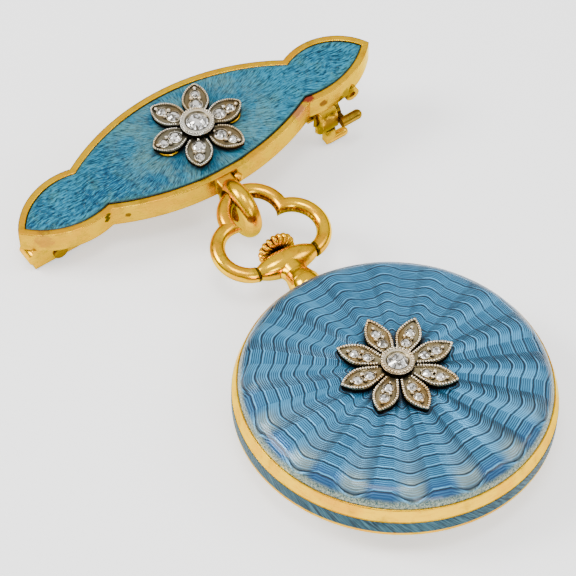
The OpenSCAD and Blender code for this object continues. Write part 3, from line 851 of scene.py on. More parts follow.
def around(sides: int) -> Points:
    """Returns evenly spaced angles of one full turn, in radians."""
    return np.linspace(0, FULL_TURN, sides, endpoint=False)


def turned(profile: Profile, sides: int, x: float = 0.0, y: float = 0.0) -> Points:
    """Turns a profile about an upright axis.

    Args:
        profile: Radius and level of each point.
        sides: Points round each ring.
        x: Place of the axis along x.
        y: Place of the axis along y.

    Returns:
        Points as rings, sides, 3.
    """
    angles = around(sides)
    return np.array([[(x + r * math.cos(t), y + r * math.sin(t), z) for t in angles] for r, z in profile])


class MeshWork:
    """Makes meshes from arrays of points, joined from several parts."""

    def __init__(self) -> None:
        """Starts with nothing."""
        self.points: list[Points] = []
        self.faces: Faces = []
        self.slots: list[int] = []
        self.count = 0

    def add(self, points: Points, faces: Faces, slot: int = 0) -> None:
        """Adds one part.

        Args:
            points: Its points, in millimetres.
            faces: Its faces.
            slot: Which of the piece's materials it takes.
        """
        self.points.append(np.asarray(points, float).reshape(-1, 3))
        self.faces.extend(tuple(i + self.count for i in face) for face in faces)
        self.slots.extend([slot] * len(faces))
        self.count += len(self.points[-1])

    def grid(self, points: Points, wrap: bool = False, slot: int = 0, flip: bool = False) -> None:
        """Adds a surface of rows and columns.

        Args:
            points: Points as rows, columns, 3.
            wrap: Whether the last column joins the first.
            slot: Which of the piece's materials it takes.
            flip: Whether the faces turn round.
        """
        rows, columns = points.shape[:2]
        faces = []
        for i in range(rows - 1):
            for j in range(columns if wrap else columns - 1):
                a, b = i * columns + j, i * columns + (j + 1) % columns
                c, d = b + columns, a + columns
                faces.append((a, d, c, b) if flip else (a, b, c, d))
        self.add(points.reshape(-1, 3), faces, slot)

    def tube(self, rings: Points, ends: tuple[bool, bool] = (True, True)) -> None:
        """Adds a tube.

        Args:
            rings: Rings of points, as rings, points, 3.
            ends: Whether its first and its last end are closed.
        """
        start = self.count
        self.grid(rings, wrap=True)
        sides = rings.shape[1]
        last = start + (rings.shape[0] - 1) * sides
        caps = [tuple(range(start, start + sides))[::-1], tuple(range(last, last + sides))]
        kept = [cap for cap, closed in zip(caps, ends) if closed]
        self.faces += kept
        self.slots += [0] * len(kept)

    def balls(self, centres: Points, radii: Points, sides: int = 8) -> None:
        """Adds many small round grains.

        Args:
            centres: Their middles.
            radii: Their radii.
            sides: Points round each.
        """
        rows = sides // 2 + 1
        tilt, turn = np.linspace(0, math.pi, rows)[1:-1, None], around(sides)[None, :]
        upright = np.cos(tilt) * np.ones_like(turn)
        ring = np.stack([np.sin(tilt) * np.cos(turn), np.sin(tilt) * np.sin(turn), upright], 2)
        ball = np.concatenate([[[0, 0, 1.0]], ring.reshape(-1, 3), [[0, 0, -1.0]]])
        end, last = len(ball) - 1, 1 + (rows - 3) * sides
        pairs = [(j, (j + 1) % sides) for j in range(sides)]
        faces: Faces = [(0, 1 + j, 1 + k) for j, k in pairs]
        for a in range(1, last, sides):
            faces += [(a + j, a + sides + j, a + sides + k, a + k) for j, k in pairs]
        faces += [(last + j, end, last + k) for j, k in pairs]
        for centre, radius in zip(np.asarray(centres, float), radii):
            self.add(ball * radius + centre, faces)

    def piece(self, name: str, materials: list[Material], sharp: float, place: Matrix) -> bpy.types.Object:
        """Turns what was added into an object.

        Args:
            name: The piece's name.
            materials: Its materials, in the order of the slots.
            sharp: Edge angle in degrees from which an edge stays sharp.
            place: Placement of the piece's own axes.

        Returns:
            The new object.
        """
        mesh = bpy.data.meshes.new(name)
        mesh.from_pydata((np.concatenate(self.points) * MM).tolist(), [], self.faces)
        for material in materials:
            mesh.materials.append(material)
        mesh.polygons.foreach_set("material_index", self.slots)
        mesh.polygons.foreach_set("use_smooth", [True] * len(mesh.polygons))
        mesh.update()
        mesh.validate()
        mesh.set_sharp_from_angle(angle=math.radians(sharp))
        made = bpy.data.objects.new(name, mesh)
        bpy.context.scene.collection.objects.link(made)
        made.matrix_world = place
        return made


def mark(piece: bpy.types.Object, name: str, values: Points) -> None:
    """Gives each point of a piece a number that its finish reads."""
    piece.data.attributes.new(name, "FLOAT", "POINT").data.foreach_set("value", values)


def seat(piece: bpy.types.Object, body: Body, slot: Slot, *nodes: str) -> None:
    """Lets a piece ride on its body and stand for CAD nodes.

    Args:
        piece: The piece.
        body: Body it rides on.
        slot: Its material slot; not used.
        *nodes: Nodes that it replaces.
    """
    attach(piece, body.value)
    if nodes:
        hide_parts(*nodes)
    LOG.info("%s: %d faces on %s", piece.name, len(piece.data.polygons), body.value)


def dress(nodes: dict[str, bpy.types.Object], finish: Material, *names: str) -> None:
    """Gives CAD nodes a finish.

    Args:
        nodes: All CAD nodes by name.
        finish: The material.
        *names: Nodes that take it.
    """
    for name in names:
        materials = nodes[name].data.materials
        materials.clear()
        materials.append(finish)


# Sub-assemblies


@dataclass
class EnamelledBack:
    """The watch's domed and pleated enamel."""

    dome_r: float = 180.0
    dome_h: float = 2.92
    shoulder_r: float = 2.0
    shoulder_x: float = 11.6
    start_r: float = 0.02
    fine_from: float = 11.4
    edge_r: float = 13.5
    foot: float = 0.72
    pleats: Pleats = Pleats()
    relief: float = 0.05
    fade_in: float = 5.0
    fade_out: float = 0.8
    dome_rings: int = 70
    edge_rings: int = 40
    steps: int = 512

    def height(self, reach: Points) -> Points:
        """Level of the smooth dome above the rim's lower edge.

        Args:
            reach: Distances from the middle.

        Returns:
            The levels.
        """
        centre = self.dome_h - self.dome_r
        shoulder_z = centre + math.sqrt((self.dome_r - self.shoulder_r) ** 2 - self.shoulder_x**2)
        meet = self.dome_r * self.shoulder_x / (self.dome_r - self.shoulder_r)
        dome = centre + np.sqrt(self.dome_r**2 - np.minimum(reach, meet) ** 2)
        past = np.maximum(reach, meet) - self.shoulder_x
        shoulder = shoulder_z + np.sqrt(np.maximum(self.shoulder_r**2 - past**2, 0))
        return np.where(reach <= meet, dome, shoulder)

    def build(self, finishes: Finishes) -> None:
        """Makes the enamel.

        Args:
            finishes: The finishes.
        """
        inner = np.linspace(self.start_r, self.fine_from, self.dome_rings)
        outer = np.linspace(self.fine_from, self.edge_r, self.edge_rings)[1:]
        reach = np.concatenate([inner, outer])[:, None]
        turn = around(self.steps)[None, :]
        swing = (1 + np.cos(self.pleats.count * (turn - math.radians(self.pleats.turn)))) / 2
        wave = np.maximum((swing - self.pleats.flat) * self.pleats.gain(), 0)
        fade = np.clip(reach / self.fade_in, 0, 1) * np.clip((self.edge_r - reach) / self.fade_out, 0, 1)
        level = WatchPlace().rim_z + self.height(reach) + self.relief * (wave - 1) * fade
        points = np.stack([reach * np.cos(turn), reach * np.sin(turn), level], 2)
        foot = points[-1:].copy()
        foot[..., 2] = WatchPlace().rim_z + self.foot
        work = MeshWork()
        work.grid(np.concatenate([points, foot]), wrap=True)
        piece = work.piece("pleated_back_enamel", [finishes.pleated], sharp=60, place=WatchPlace().matrix())
        seat(piece, Body.WATCH, Slot.BLUE_ENAMEL, "back_enamel")


class Coat(IntEnum):
    """Materials of a flower, in the order of its mesh's material slots."""

    METAL = 0
    TARNISH_AND_SHADE = 1
    RECESS = 2


@dataclass
class Flower:
    """A flower of stone-set petals round a centre collet.

    A petal is given by its lengths from the flower's middle: tip, middle of the side's arc, and the seats of
    its two stones, each with the stone's radius. Half is its half width and wedge its half angle at the root.
    The values from curl_from on are the same for both flowers. They say how a petal's outline is rounded,
    where its points are and how wide the petal is that the claws are drawn for.
    """

    name: str
    node: str
    body: Body
    place: Matrix
    coats: list[Material]
    petals: int
    tip: float
    middle: float
    half: float
    wedge: float
    top: float
    skirt: float
    rim: float
    floor: float
    grain: float
    pitch: float
    collet_r: float
    collet_top: float
    stone_r: float
    seats: tuple[tuple[float, float], tuple[float, float]]
    turn: float = 0.0
    curl: float = 0.18
    curl_from: float = 0.72
    droop: float = 0.02
    rounding: float = 0.12
    slack: float = 0.03
    root: float = 0.8
    steps: int = 44
    crowding: float = 1.25
    least: float = 0.012
    rim_share: float = 0.55
    bead_inset: float = 0.42
    bead_points: int = 400
    claw_half: float = 1.06
    seat_sides: int = 20
    collet_sides: int = 64
    collet_bead_inset: float = 0.13
    collet_bead_pitch: float = 1.1
    collet_bead_size: float = 1.15

    def outline(self, along: Points) -> Points:
        """Half width of a petal: an arc at the side, a wedge at the root and a soft corner between them.

        Args:
            along: Distances from the flower's middle.

        Returns:
            The half widths.
        """
        arc = ((self.tip - self.middle) ** 2 + self.half**2) / (2 * self.half)
        side = np.sqrt(np.maximum(arc**2 - (along - self.middle) ** 2, 0)) - (arc - self.half)
        root = along * math.tan(math.radians(self.wedge))
        nearness = sum(np.exp(-np.maximum(edge, -1) / self.rounding) for edge in (side, root))
        soft = -self.rounding * np.log(nearness) + self.slack
        return np.maximum(np.minimum(np.minimum(side, root), soft), 0.0)

    def lift(self, along: Points, across: Points, number: int) -> Points:
        """Returns the small rise of a petal towards its tip, a little different on each."""
        share = np.clip((along / self.tip - self.curl_from) / (1 - self.curl_from), 0, 1)
        return self.curl * share**2 * (0.7 + 0.5 * math.sin(2.3 * number)) - self.droop * across**2

    def spin(self, number: int) -> Points:
        """Works out the rotation of a petal.

        Args:
            number: Number of the petal.

        Returns:
            The matrix that a row of x, y and z is multiplied by.
        """
        angle = math.radians(self.turn + number * 360 / self.petals)
        c, s = math.cos(angle), math.sin(angle)
        return np.array([[c, s, 0], [-s, c, 0], [0, 0, 1]])

    def petal(self, work: MeshWork, number: int) -> None:
        """Adds one petal: a raised rim round a sunk floor, with dark outer walls that reach down to the
        enamel, tarnished and painted as the shadow under the petal.

        Args:
            work: Where it is added.
            number: Number of the petal.
        """
        start = self.root * self.collet_r
        share = np.linspace(0, 1, self.steps)
        along = start + (self.tip - start) * (1 - (1 - share) ** self.crowding)
        wide = np.maximum(self.outline(along), self.least)
        rim = np.minimum(self.rim, wide * self.rim_share)
        # Share of the rim inward from its edge, and level against the petal's top
        section = ((0.0, -self.skirt), (0.02, -0.14), (0.05, -0.07),
                   (0.5, -0.05), (0.9, -0.06), (1.05, -self.floor))
        rows = []
        for x, w, r in zip(along, wide, rim):
            left = [(x, -(w - r * inward), z) for inward, z in section]
            middle = [(x, y, -self.floor - 0.02) for y in (-(w - r) * 0.5, 0.0, (w - r) * 0.5)]
            right = [(x, -y, z) for _, y, z in left[::-1]]
            rows.append(left + middle + right)
        points = np.array(rows)
        points[..., 2] += self.lift(points[..., 0], points[..., 1], number) + self.top
        columns = points.shape[1]
        # The outer walls are dark: tarnished silver and painted shadow under the petal.
        strips = ((0, 2, Coat.TARNISH_AND_SHADE), (1, columns - 1, Coat.RECESS), (columns - 2, columns, Coat.TARNISH_AND_SHADE))
        for first, last, coat in strips:
            work.grid(points[:, first:last] @ self.spin(number), slot=coat, flip=True)

    def grains(self, work: MeshWork, number: int, x: Points, y: Points, radii: Points, level: float) -> None:
        """Adds grains to a petal, at distances along and across it and a level against its top."""
        z = self.top + level + self.lift(x, y, number)
        work.balls(np.stack([x, y, z], 1) @ self.spin(number), radii)

    def beading(self, work: MeshWork, number: int) -> None:
        """Adds the beads of a petal's rim.

        Args:
            work: Where they are added.
            number: Number of the petal.
        """
        along = np.linspace(self.collet_r + 0.1, self.tip - 0.12, self.bead_points)
        wide = self.outline(along) - self.rim * self.bead_inset
        keep = wide > 0.03
        line = np.stack([along[keep], wide[keep]], 1)
        run = np.concatenate([[0], np.cumsum(np.linalg.norm(np.diff(line, axis=0), axis=1))])
        marks = np.arange(self.pitch / 2, run[-1], self.pitch)
        x, y = np.interp(marks, run, line[:, 0]), np.interp(marks, run, line[:, 1])
        x, y = np.concatenate([x, x, [self.tip - 0.1]]), np.concatenate([y, -y, [0.0]])
        self.grains(work, number, x, y, np.full(len(x), self.grain), 0.0)

    def claws(self, work: MeshWork, number: int) -> None:
        """Adds the four grains that hold a petal's stones, two between the stones and one at either end.

        Args:
            work: Where they are added.
            number: Number of the petal.
        """
        (inner_x, inner_r), (outer_x, outer_r) = self.seats
        between = (inner_x + inner_r + outer_x - outer_r) / 2
        x = np.array([between, between, outer_x + outer_r + 0.16, inner_x - inner_r - 0.1])
        y = np.array([0.32, -0.32, 0.0, 0.0]) * self.half / self.claw_half
        radii = np.array([0.18, 0.18, 0.17, 0.12]) * self.half / self.claw_half
        self.grains(work, number, x, y, radii, -self.floor + 0.16)

    def seat_rings(self, work: MeshWork, number: int) -> None:
        """Adds the thin cut rings round a petal's stones.

        Args:
            work: Where they are added.
            number: Number of the petal.
        """
        # Change of the stone's radius, and level against the floor
        section = ((0.1, -0.02), (0.06, 0.1), (0.0, 0.12), (-0.03, 0.02))
        for x, r in self.seats:
            profile = [(r + change, self.top + (level - self.floor)) for change, level in section]
            rings = turned(profile, self.seat_sides, x) @ self.spin(number)
            work.grid(rings[:3], wrap=True, flip=True)
            # The inner rows are darker silver as painted shade in the gap round the stone.
            work.grid(rings[2:], wrap=True, flip=True, slot=Coat.RECESS)

    def collet(self, work: MeshWork) -> None:
        """Adds the beaded collet of the centre stone.

        Args:
            work: Where it is added.
        """
        r, top, s = self.collet_r, self.collet_top, self.stone_r
        profile = [(r - 0.1, self.top - 0.3), (r, self.top), (r, top - 0.18),
                   (r - 0.06, top - 0.04), (r - 0.16, top), ((r + s) / 2, top + 0.01),
                   (s + 0.12, top - 0.02), (s + 0.02, top - 0.1), (s - 0.03, top - 0.22)]
        rings = turned(profile, self.collet_sides)
        # The outer wall is dark, tarnished silver and painted shade, and the inner edge by the stone is
        # darker silver as painted shade.
        for first, last, coat in ((0, 3, Coat.TARNISH_AND_SHADE), (2, 7, Coat.METAL), (6, 9, Coat.RECESS)):
            work.grid(rings[first:last], wrap=True, flip=True, slot=coat)
        bead_r = r - self.collet_bead_inset
        count = int(FULL_TURN * bead_r / (self.pitch * self.collet_bead_pitch))
        radii = np.full(count, self.grain * self.collet_bead_size)
        work.balls(turned([(bead_r, top - 0.01)], count)[0], radii)

    def build(self) -> None:
        """Makes the flower."""
        work = MeshWork()
        for number in range(self.petals):
            for add in (self.petal, self.beading, self.claws, self.seat_rings):
                add(work, number)
        self.collet(work)
        piece = work.piece(self.name, self.coats, sharp=50, place=self.place)
        seat(piece, self.body, Slot.WHITE_METAL, self.node)


@dataclass
class FlowerPosts:
    """The gold strip and posts under the brooch's flower, each post on a round foot."""

    reach: float = 3.3
    offset: float = -0.15
    foot_r: float = 1.15
    post_r: float = 0.7
    middle_r: float = 1.1
    foot: float = 0.34
    step: float = 0.26
    top: float = 0.66
    strip: float = 0.11
    strip_half: float = 0.4
    bevel: float = 0.06
    sides: int = 48

    def post(self, work: MeshWork, x: float, y: float, wide: float, narrow: float) -> None:
        """Adds one post on its foot.

        Args:
            work: Where it is added.
            x: Its place along the brooch.
            y: Its place across the brooch.
            wide: Radius of the foot.
            narrow: Radius of the post.
        """
        bevel, shoulder = self.bevel, self.foot + self.step
        profile = [(wide - bevel, self.foot), (wide, self.foot + bevel), (wide, shoulder - bevel),
                   (wide - bevel, shoulder), (narrow, shoulder + bevel / 2), (narrow, self.top)]
        work.tube(turned(profile, self.sides, x, y))

    def build(self, finishes: Finishes) -> None:
        """Makes the strip and its posts.

        Args:
            finishes: The finishes.
        """
        work = MeshWork()
        for side in (-1, 1):
            self.post(work, side * self.reach, self.offset, self.foot_r, self.post_r)
        self.post(work, 0.0, 0.0, self.middle_r, self.middle_r - self.bevel)
        near, far = self.offset - self.strip_half, self.offset + self.strip_half
        corners = ((-self.reach, near), (self.reach, near), (self.reach, far), (-self.reach, far))
        levels = (self.top - self.strip, self.top - 0.01)
        work.tube(np.array([[(*corner, z) for corner in corners] for z in levels]))
        piece = work.piece("flower_posts_with_feet", [finishes.gold], sharp=40, place=BroochPlace().matrix())
        seat(piece, Body.BROOCH, Slot.GOLD, "brooch_flower_posts")


@dataclass(frozen=True)
class Cut:
    """A plane that ends a lobe of the bow: an angle near it, a point of it and its direction."""

    near: float
    at: Vector
    facing: Vector


@dataclass
class Bow:
    """The trefoil bow: round wire in three lobes with two sharp inward points."""

    wire: float = 0.7
    side_r: float = 2.76
    side_x: float = 2.42
    side_y: float = 2.7
    top_r: float = 2.77
    top_y: float = 5.63
    end_x: float = 2.98
    lift: float = 10.0
    sides: int = 40
    side_steps: int = 70
    top_steps: int = 80
    dark_end: float = 4.0

    def corner(self) -> tuple[float, float]:
        """Works out the point where the right side lobe meets the top lobe.

        Returns:
            Its x and y.
        """
        dx, dy = self.side_x, self.side_y - self.top_y
        apart = math.hypot(dx, dy)
        at = (self.top_r**2 - self.side_r**2 + apart**2) / (2 * apart)
        off = math.sqrt(self.top_r**2 - at**2)
        return at * dx / apart - off * dy / apart, self.top_y + at * dy / apart + off * dx / apart

    def crossing(self, centre: Vector, reach: float, cut: Cut) -> float:
        """Angle where a circle of the lobe crosses a cutting plane.

        Args:
            centre: Middle of the circle.
            reach: Its radius.
            cut: The plane.

        Returns:
            The angle, in radians, within half a turn of the one given for the plane.
        """
        base = math.atan2(cut.facing.y, cut.facing.x)
        spread = math.acos(max(-1.0, min(1.0, (cut.at - centre).dot(cut.facing) / reach)))
        turns = (math.remainder(angle - cut.near, FULL_TURN) for angle in (base + spread, base - spread))
        return cut.near + min(turns, key=abs)

    def lobe(self, centre: Vector, r: float, ends: tuple[Cut, Cut], steps: int) -> Points:
        """Makes the rings of one lobe between two cutting planes.

        Args:
            centre: Middle of the lobe.
            r: Its radius.
            ends: The plane at each end.
            steps: Number of rings.

        Returns:
            The rings.
        """
        columns = []
        for turn in around(self.sides):
            reach, level = r + self.wire * math.cos(turn), self.wire * math.sin(turn)
            first, last = (self.crossing(centre, reach, cut) for cut in ends)
            angles = np.linspace(first, last, steps)
            x, y = centre.x + reach * np.cos(angles), centre.y + reach * np.sin(angles)
            columns.append(np.stack([x, y, np.full(steps, level)], 1))
        return np.stack(columns, 1)

    def lobes(self) -> tuple[Points, Points]:
        """Makes the right side lobe and the top lobe, mitred where they meet.

        Returns:
            Their rings.
        """
        x, y = self.corner()
        side_end, top_start = math.atan2(y - self.side_y, x - self.side_x), math.atan2(y - self.top_y, x)
        onward = [Vector((-math.sin(angle), math.cos(angle), 0)) for angle in (side_end, top_start)]
        facing = (onward[0] + onward[1]).normalized()
        side_start = -math.acos((self.end_x - self.side_x) / self.side_r)
        root = Cut(side_start, Vector((self.end_x, 0, 0)), Vector((1, 0, 0)))
        right, left = Vector((x, y, 0)), Vector((-x, y, 0))
        mirrored = Vector((-facing.x, facing.y, 0))
        side_ends = (root, Cut(side_end, right, facing))
        top_ends = (Cut(top_start, right, facing), Cut(math.pi - top_start, left, mirrored))
        side = self.lobe(Vector((self.side_x, self.side_y, 0)), self.side_r, side_ends, self.side_steps)
        return side, self.lobe(Vector((0, self.top_y, 0)), self.top_r, top_ends, self.top_steps)

    def shades(self, side: Points, top: Points) -> Points:
        """Works out the painted shade on the inner, lower side of the wire, and how dark its end seams are.

        Args:
            side: Rings of a side lobe.
            top: Rings of the top lobe.

        Returns:
            A number for each point of the right, the left and the top lobe.
        """
        turn = around(self.sides)
        # Painted shade on the inner, lower side of the wire.
        inner = np.clip((-0.85 * np.cos(turn) - 0.45 * np.sin(turn) - 0.15) / 0.6, 0, 1)
        rise = np.linspace(0.45, 1, len(side))[:, None]
        right, left = rise * inner, 0.4 * rise * inner[::-1]
        right[:2] = left[:2] = self.dark_end
        return np.concatenate([shade.ravel() for shade in (right, left, np.ones((len(top), 1)) * inner)])

    def build(self, finishes: Finishes) -> None:
        """Makes the bow.

        Args:
            finishes: The finishes.
        """
        side, top = self.lobes()
        mirror = np.array([-1.0, 1.0, 1.0])
        work = MeshWork()
        for rings in (side, (side * mirror)[:, ::-1]):
            work.tube(rings, ends=(True, False))
        work.tube(top, ends=(False, False))
        place = WatchPlace().crossbar() @ Matrix.Rotation(math.radians(self.lift), 4, "X")
        piece = work.piece("trefoil_bow", [finishes.gold], sharp=38, place=place)
        mark(piece, "inner_side_shade", self.shades(side, top))
        seat(piece, Body.BROOCH, Slot.GOLD, "bow")


@dataclass
class Neck:
    """The neck's turned sleeve and the full belly of the crossbar, over the plain solid."""

    belly: float = 0.28
    belly_power: float = 2.8
    proud: float = 0.015
    bar_r: float = 1.0
    bar_end_r: float = 0.62
    bar_half: float = 2.88
    open_angle: float = 24.0
    ease_angle: float = 34.0
    buried: float = 0.03
    foot_y: float = 13.6
    collar_r: float = 1.5
    throat_r: float = 1.12
    throat_y: float = 16.0
    end_y: float = 17.3
    ease: float = 0.7
    flare: float = 0.75
    flatten: float = 0.3
    sides: int = 96
    steps: int = 60
    throat_steps: int = 30

    def bar_rings(self) -> Points:
        """Makes the crossbar's rings, sunk into the solid on the crown's side and full elsewhere.

        Returns:
            The rings from one end to the other.
        """
        x = np.linspace(-self.bar_half, self.bar_half, self.steps)[:, None]
        turn = around(self.sides)[None, :]
        swell = 1 - (x / self.bar_half) ** 2
        from_crown = np.degrees(np.abs((turn + math.pi) % FULL_TURN - math.pi))
        share = np.clip((from_crown - self.open_angle) / self.ease_angle, 0, 1)
        share = share * share * (3 - 2 * share)
        plain = self.bar_end_r + (self.bar_r - self.bar_end_r) * swell
        full = 1 - np.abs(x / self.bar_half) ** self.belly_power
        reach = plain - self.buried + (self.buried + self.proud + self.belly * full) * share
        return np.stack([np.broadcast_to(x, reach.shape), reach * np.cos(turn), reach * np.sin(turn)], 2)

    def neck_rings(self) -> Points:
        """Makes the neck's rings from the case to the inside of the crossbar.

        Returns:
            The rings.
        """
        # Place along from the foot, and change of the collar's radius
        collar = ((0.0, -0.22), (0.15, -0.06), (0.32, 0.0), (1.08, 0.0),
                  (1.15, -0.03), (1.18, -0.09), (1.22, -0.09), (1.25, -0.08))
        collar_y = [self.foot_y + along for along, _ in collar]
        collar_r = [self.collar_r + change for _, change in collar]
        y = np.concatenate([collar_y, np.linspace(collar_y[-1] + 0.05, self.end_y, self.throat_steps)])
        r = np.interp(y, [*collar_y, self.throat_y, self.end_y], [*collar_r, self.throat_r, self.throat_r])
        rise = np.clip((y - self.throat_y + self.ease) / (self.end_y - self.throat_y + self.ease), 0, 1)
        wide = (r + self.flare * rise**2.5)[:, None]
        tall = (r * (1 - self.flatten * rise**1.2))[:, None]
        turn = around(self.sides)[None, :]
        along = np.broadcast_to(y[:, None], (len(y), self.sides)) - WatchPlace().crossbar_y
        return np.stack([wide * np.cos(turn), along, -tall * np.sin(turn)], 2)

    def build(self, finishes: Finishes) -> None:
        """Makes the sleeve and the belly.

        Args:
            finishes: The finishes.
        """
        work = MeshWork()
        work.tube(self.bar_rings()[::-1], ends=(False, False))
        work.tube(self.neck_rings(), ends=(False, False))
        piece = work.piece("neck_and_crossbar", [finishes.gold], sharp=50, place=WatchPlace().crossbar())
        seat(piece, Body.WATCH, Slot.GOLD)


@dataclass
class Crown:
    """The fluted winding crown."""

    r: float = 1.84
    length: float = 1.3
    start: float = 1.08
    flutes: int = 18
    depth: float = 0.22
    flute_sides: int = 12
    rings: int = 26
    front_drop: float = 0.72
    back_drop: float = 0.5
    face_share: float = 0.55
    face_sunk: float = 0.02

    def build(self, finishes: Finishes) -> None:
        """Makes the crown.

        Args:
            finishes: The finishes.
        """
        turn = around(self.flutes * self.flute_sides)[None, :]
        share = (1 - np.cos(math.pi * np.linspace(0, 1, self.rings)[:, None])) / 2
        drop = np.where(share < 0.5, self.front_drop, self.back_drop)
        barrel = self.r * (1 - np.abs(2 * share - 1) ** 3.0 * drop)
        rib = np.abs(np.cos(self.flutes * turn / 2)) ** 0.75
        reach = barrel * (1 - self.depth * (1 - rib) * np.sin(math.pi * (0.15 + 0.7 * share)) ** 0.3)
        along = np.broadcast_to(self.start + self.length * share, reach.shape)
        rings = np.stack([reach * np.cos(turn), along, reach * np.sin(turn)], 2)
        faces = rings[[0, -1]] * np.array([self.face_share, 1.0, self.face_share])
        rings = np.concatenate([faces[:1], rings, faces[1:]])
        rings[0, :, 1] += self.face_sunk
        work = MeshWork()
        work.tube(rings[:, ::-1])
        piece = work.piece("fluted_crown", [finishes.gold], sharp=50, place=WatchPlace().crossbar())
        seat(piece, Body.CROWN, Slot.GOLD, "crown")


Arc = tuple[float, float, float]


@dataclass
class BroochEnamel:
    """The low-crowned enamel of the brooch, between six arcs given by their middles and radii."""

    far: tuple[Arc, ...] = ((-0.69, -15.61, 21.18), (-13.52, -3.53, 6.17), (13.93, -2.63, 5.18))
    near: tuple[Arc, ...] = ((-0.32, 18.94, 23.83), (-13.46, 4.67, 7.32), (12.47, 6.25, 8.76))
    half_length: float = 20.0
    samples: int = 8001
    clear: float = 0.02
    rise: float = 0.32
    across_r: float = 46.0
    along_r: float = 420.0
    edge_drop: float = 0.05
    edge_reach: float = 0.12
    skirt: float = 0.4
    columns: int = 420
    rows: int = 120

    def limits(self) -> tuple[Points, Points, Points]:
        """Works out the outline.

        Returns:
            Places along the brooch, with the near and far edges there.
        """
        x = np.linspace(-self.half_length, self.half_length, self.samples)
        upper, lower = np.full_like(x, -np.inf), np.full_like(x, np.inf)
        for (far_x, far_y, far_r), (near_x, near_y, near_r) in zip(self.far, self.near):
            far = far_y + np.sqrt(np.maximum(far_r * far_r - (x - far_x) ** 2, 0))
            near = near_y - np.sqrt(np.maximum(near_r * near_r - (x - near_x) ** 2, 0))
            held = far > near
            upper = np.where(held, np.maximum(upper, far), upper)
            lower = np.where(held, np.minimum(lower, near), lower)
        inside = upper > lower
        return x[inside], lower[inside], upper[inside]

    def build(self, finishes: Finishes) -> None:
        """Makes the enamel.

        Args:
            finishes: The finishes.
        """
        x, lower, upper = self.limits()
        left, right = x[0], x[-1]
        even = np.linspace(0, 1, self.columns)
        eased = (1 - np.cos(np.linspace(0, math.pi, self.columns))) / 2
        along = (left + self.clear) + (right - left - 2 * self.clear) * (0.7 * even + 0.3 * eased)
        low, high = np.interp(along, x, lower) + self.clear, np.interp(along, x, upper) - self.clear
        swing = np.cos(math.pi * np.linspace(0, 1, self.rows))
        share = 0.5 - 0.5 * swing * (0.85 + 0.15 * swing**2)
        across = low[:, None] + (high - low)[:, None] * share[None, :]
        places = np.repeat(along[:, None], self.rows, 1)
        gap = np.minimum(across - low[:, None], high[:, None] - across)
        level = self.rise - places**2 / (2 * self.along_r) - across**2 / (2 * self.across_r)
        level = level - self.edge_drop * np.exp(-gap / self.edge_reach)
        points = np.stack([places, across, level], 2)
        skirt = points[:, [0, -1]].copy()
        skirt[..., 2] -= self.skirt
        work = MeshWork()
        work.grid(np.concatenate([skirt[:, :1], points, skirt[:, 1:]], 1), flip=True)
        piece = work.piece("rayed_brooch_enamel", [finishes.rayed], sharp=60, place=BroochPlace().matrix())
        mark(piece, "edge_gap", np.pad(gap, ((0, 0), (1, 1))).ravel())
        seat(piece, Body.BROOCH, Slot.BLUE_ENAMEL, "brooch_enamel")


@dataclass
class DialFace:
    """Plain numbers and minute strokes on the dial, seen through the glass below."""

    level: float = 2.288
    number_r: float = 9.4
    number_size: float = 2.3
    track_r: float = 11.0
    long_stroke: tuple[float, float] = (0.07, 0.75)
    short_stroke: tuple[float, float] = (0.03, 0.5)

    def strokes(self, work: MeshWork) -> None:
        """Adds the sixty strokes of the minutes.

        Args:
            work: Where they are added.
        """
        for minute in range(60):
            angle = math.radians(6 * minute)
            half, length = self.long_stroke if minute % 5 == 0 else self.short_stroke
            out = np.array([-math.sin(angle), math.cos(angle)])
            side = np.array([math.cos(angle), math.sin(angle)])
            outer, inner = self.track_r, self.track_r - length
            ends = ((outer, half), (outer, -half), (inner, -half), (inner, half))
            work.add(np.array([(*(out * r + side * h), self.level) for r, h in ends]), [(0, 1, 2, 3)])

    def numbers(self, work: MeshWork) -> None:
        """Adds the numbers of the hours, mirrored because the dial faces down.

        Args:
            work: Where they are added.
        """
        for hour in range(1, 13):
            curve = bpy.data.curves.new("number", "FONT")
            curve.body, curve.size, curve.resolution_u = str(hour), self.number_size, 3
            curve.align_x, curve.align_y = "CENTER", "CENTER"
            letters = bpy.data.objects.new("number", curve)
            mesh = letters.to_mesh()
            angle = math.radians(30 * hour)
            shift = np.array([-math.sin(angle) * self.number_r, math.cos(angle) * self.number_r, self.level])
            points = np.array([(-v.co.x, v.co.y, 0.0) for v in mesh.vertices]) + shift
            work.add(points, [tuple(p.vertices)[::-1] for p in mesh.polygons])
            letters.to_mesh_clear()
            bpy.data.objects.remove(letters)

    def build(self, finishes: Finishes) -> None:
        """Makes the strokes and the numbers.

        Args:
            finishes: The finishes.
        """
        work = MeshWork()
        self.strokes(work)
        self.numbers(work)
        piece = work.piece("dial_numbers", [finishes.ink], sharp=40, place=WatchPlace().matrix())
        seat(piece, Body.WATCH, Slot.HANDS)


# Stage


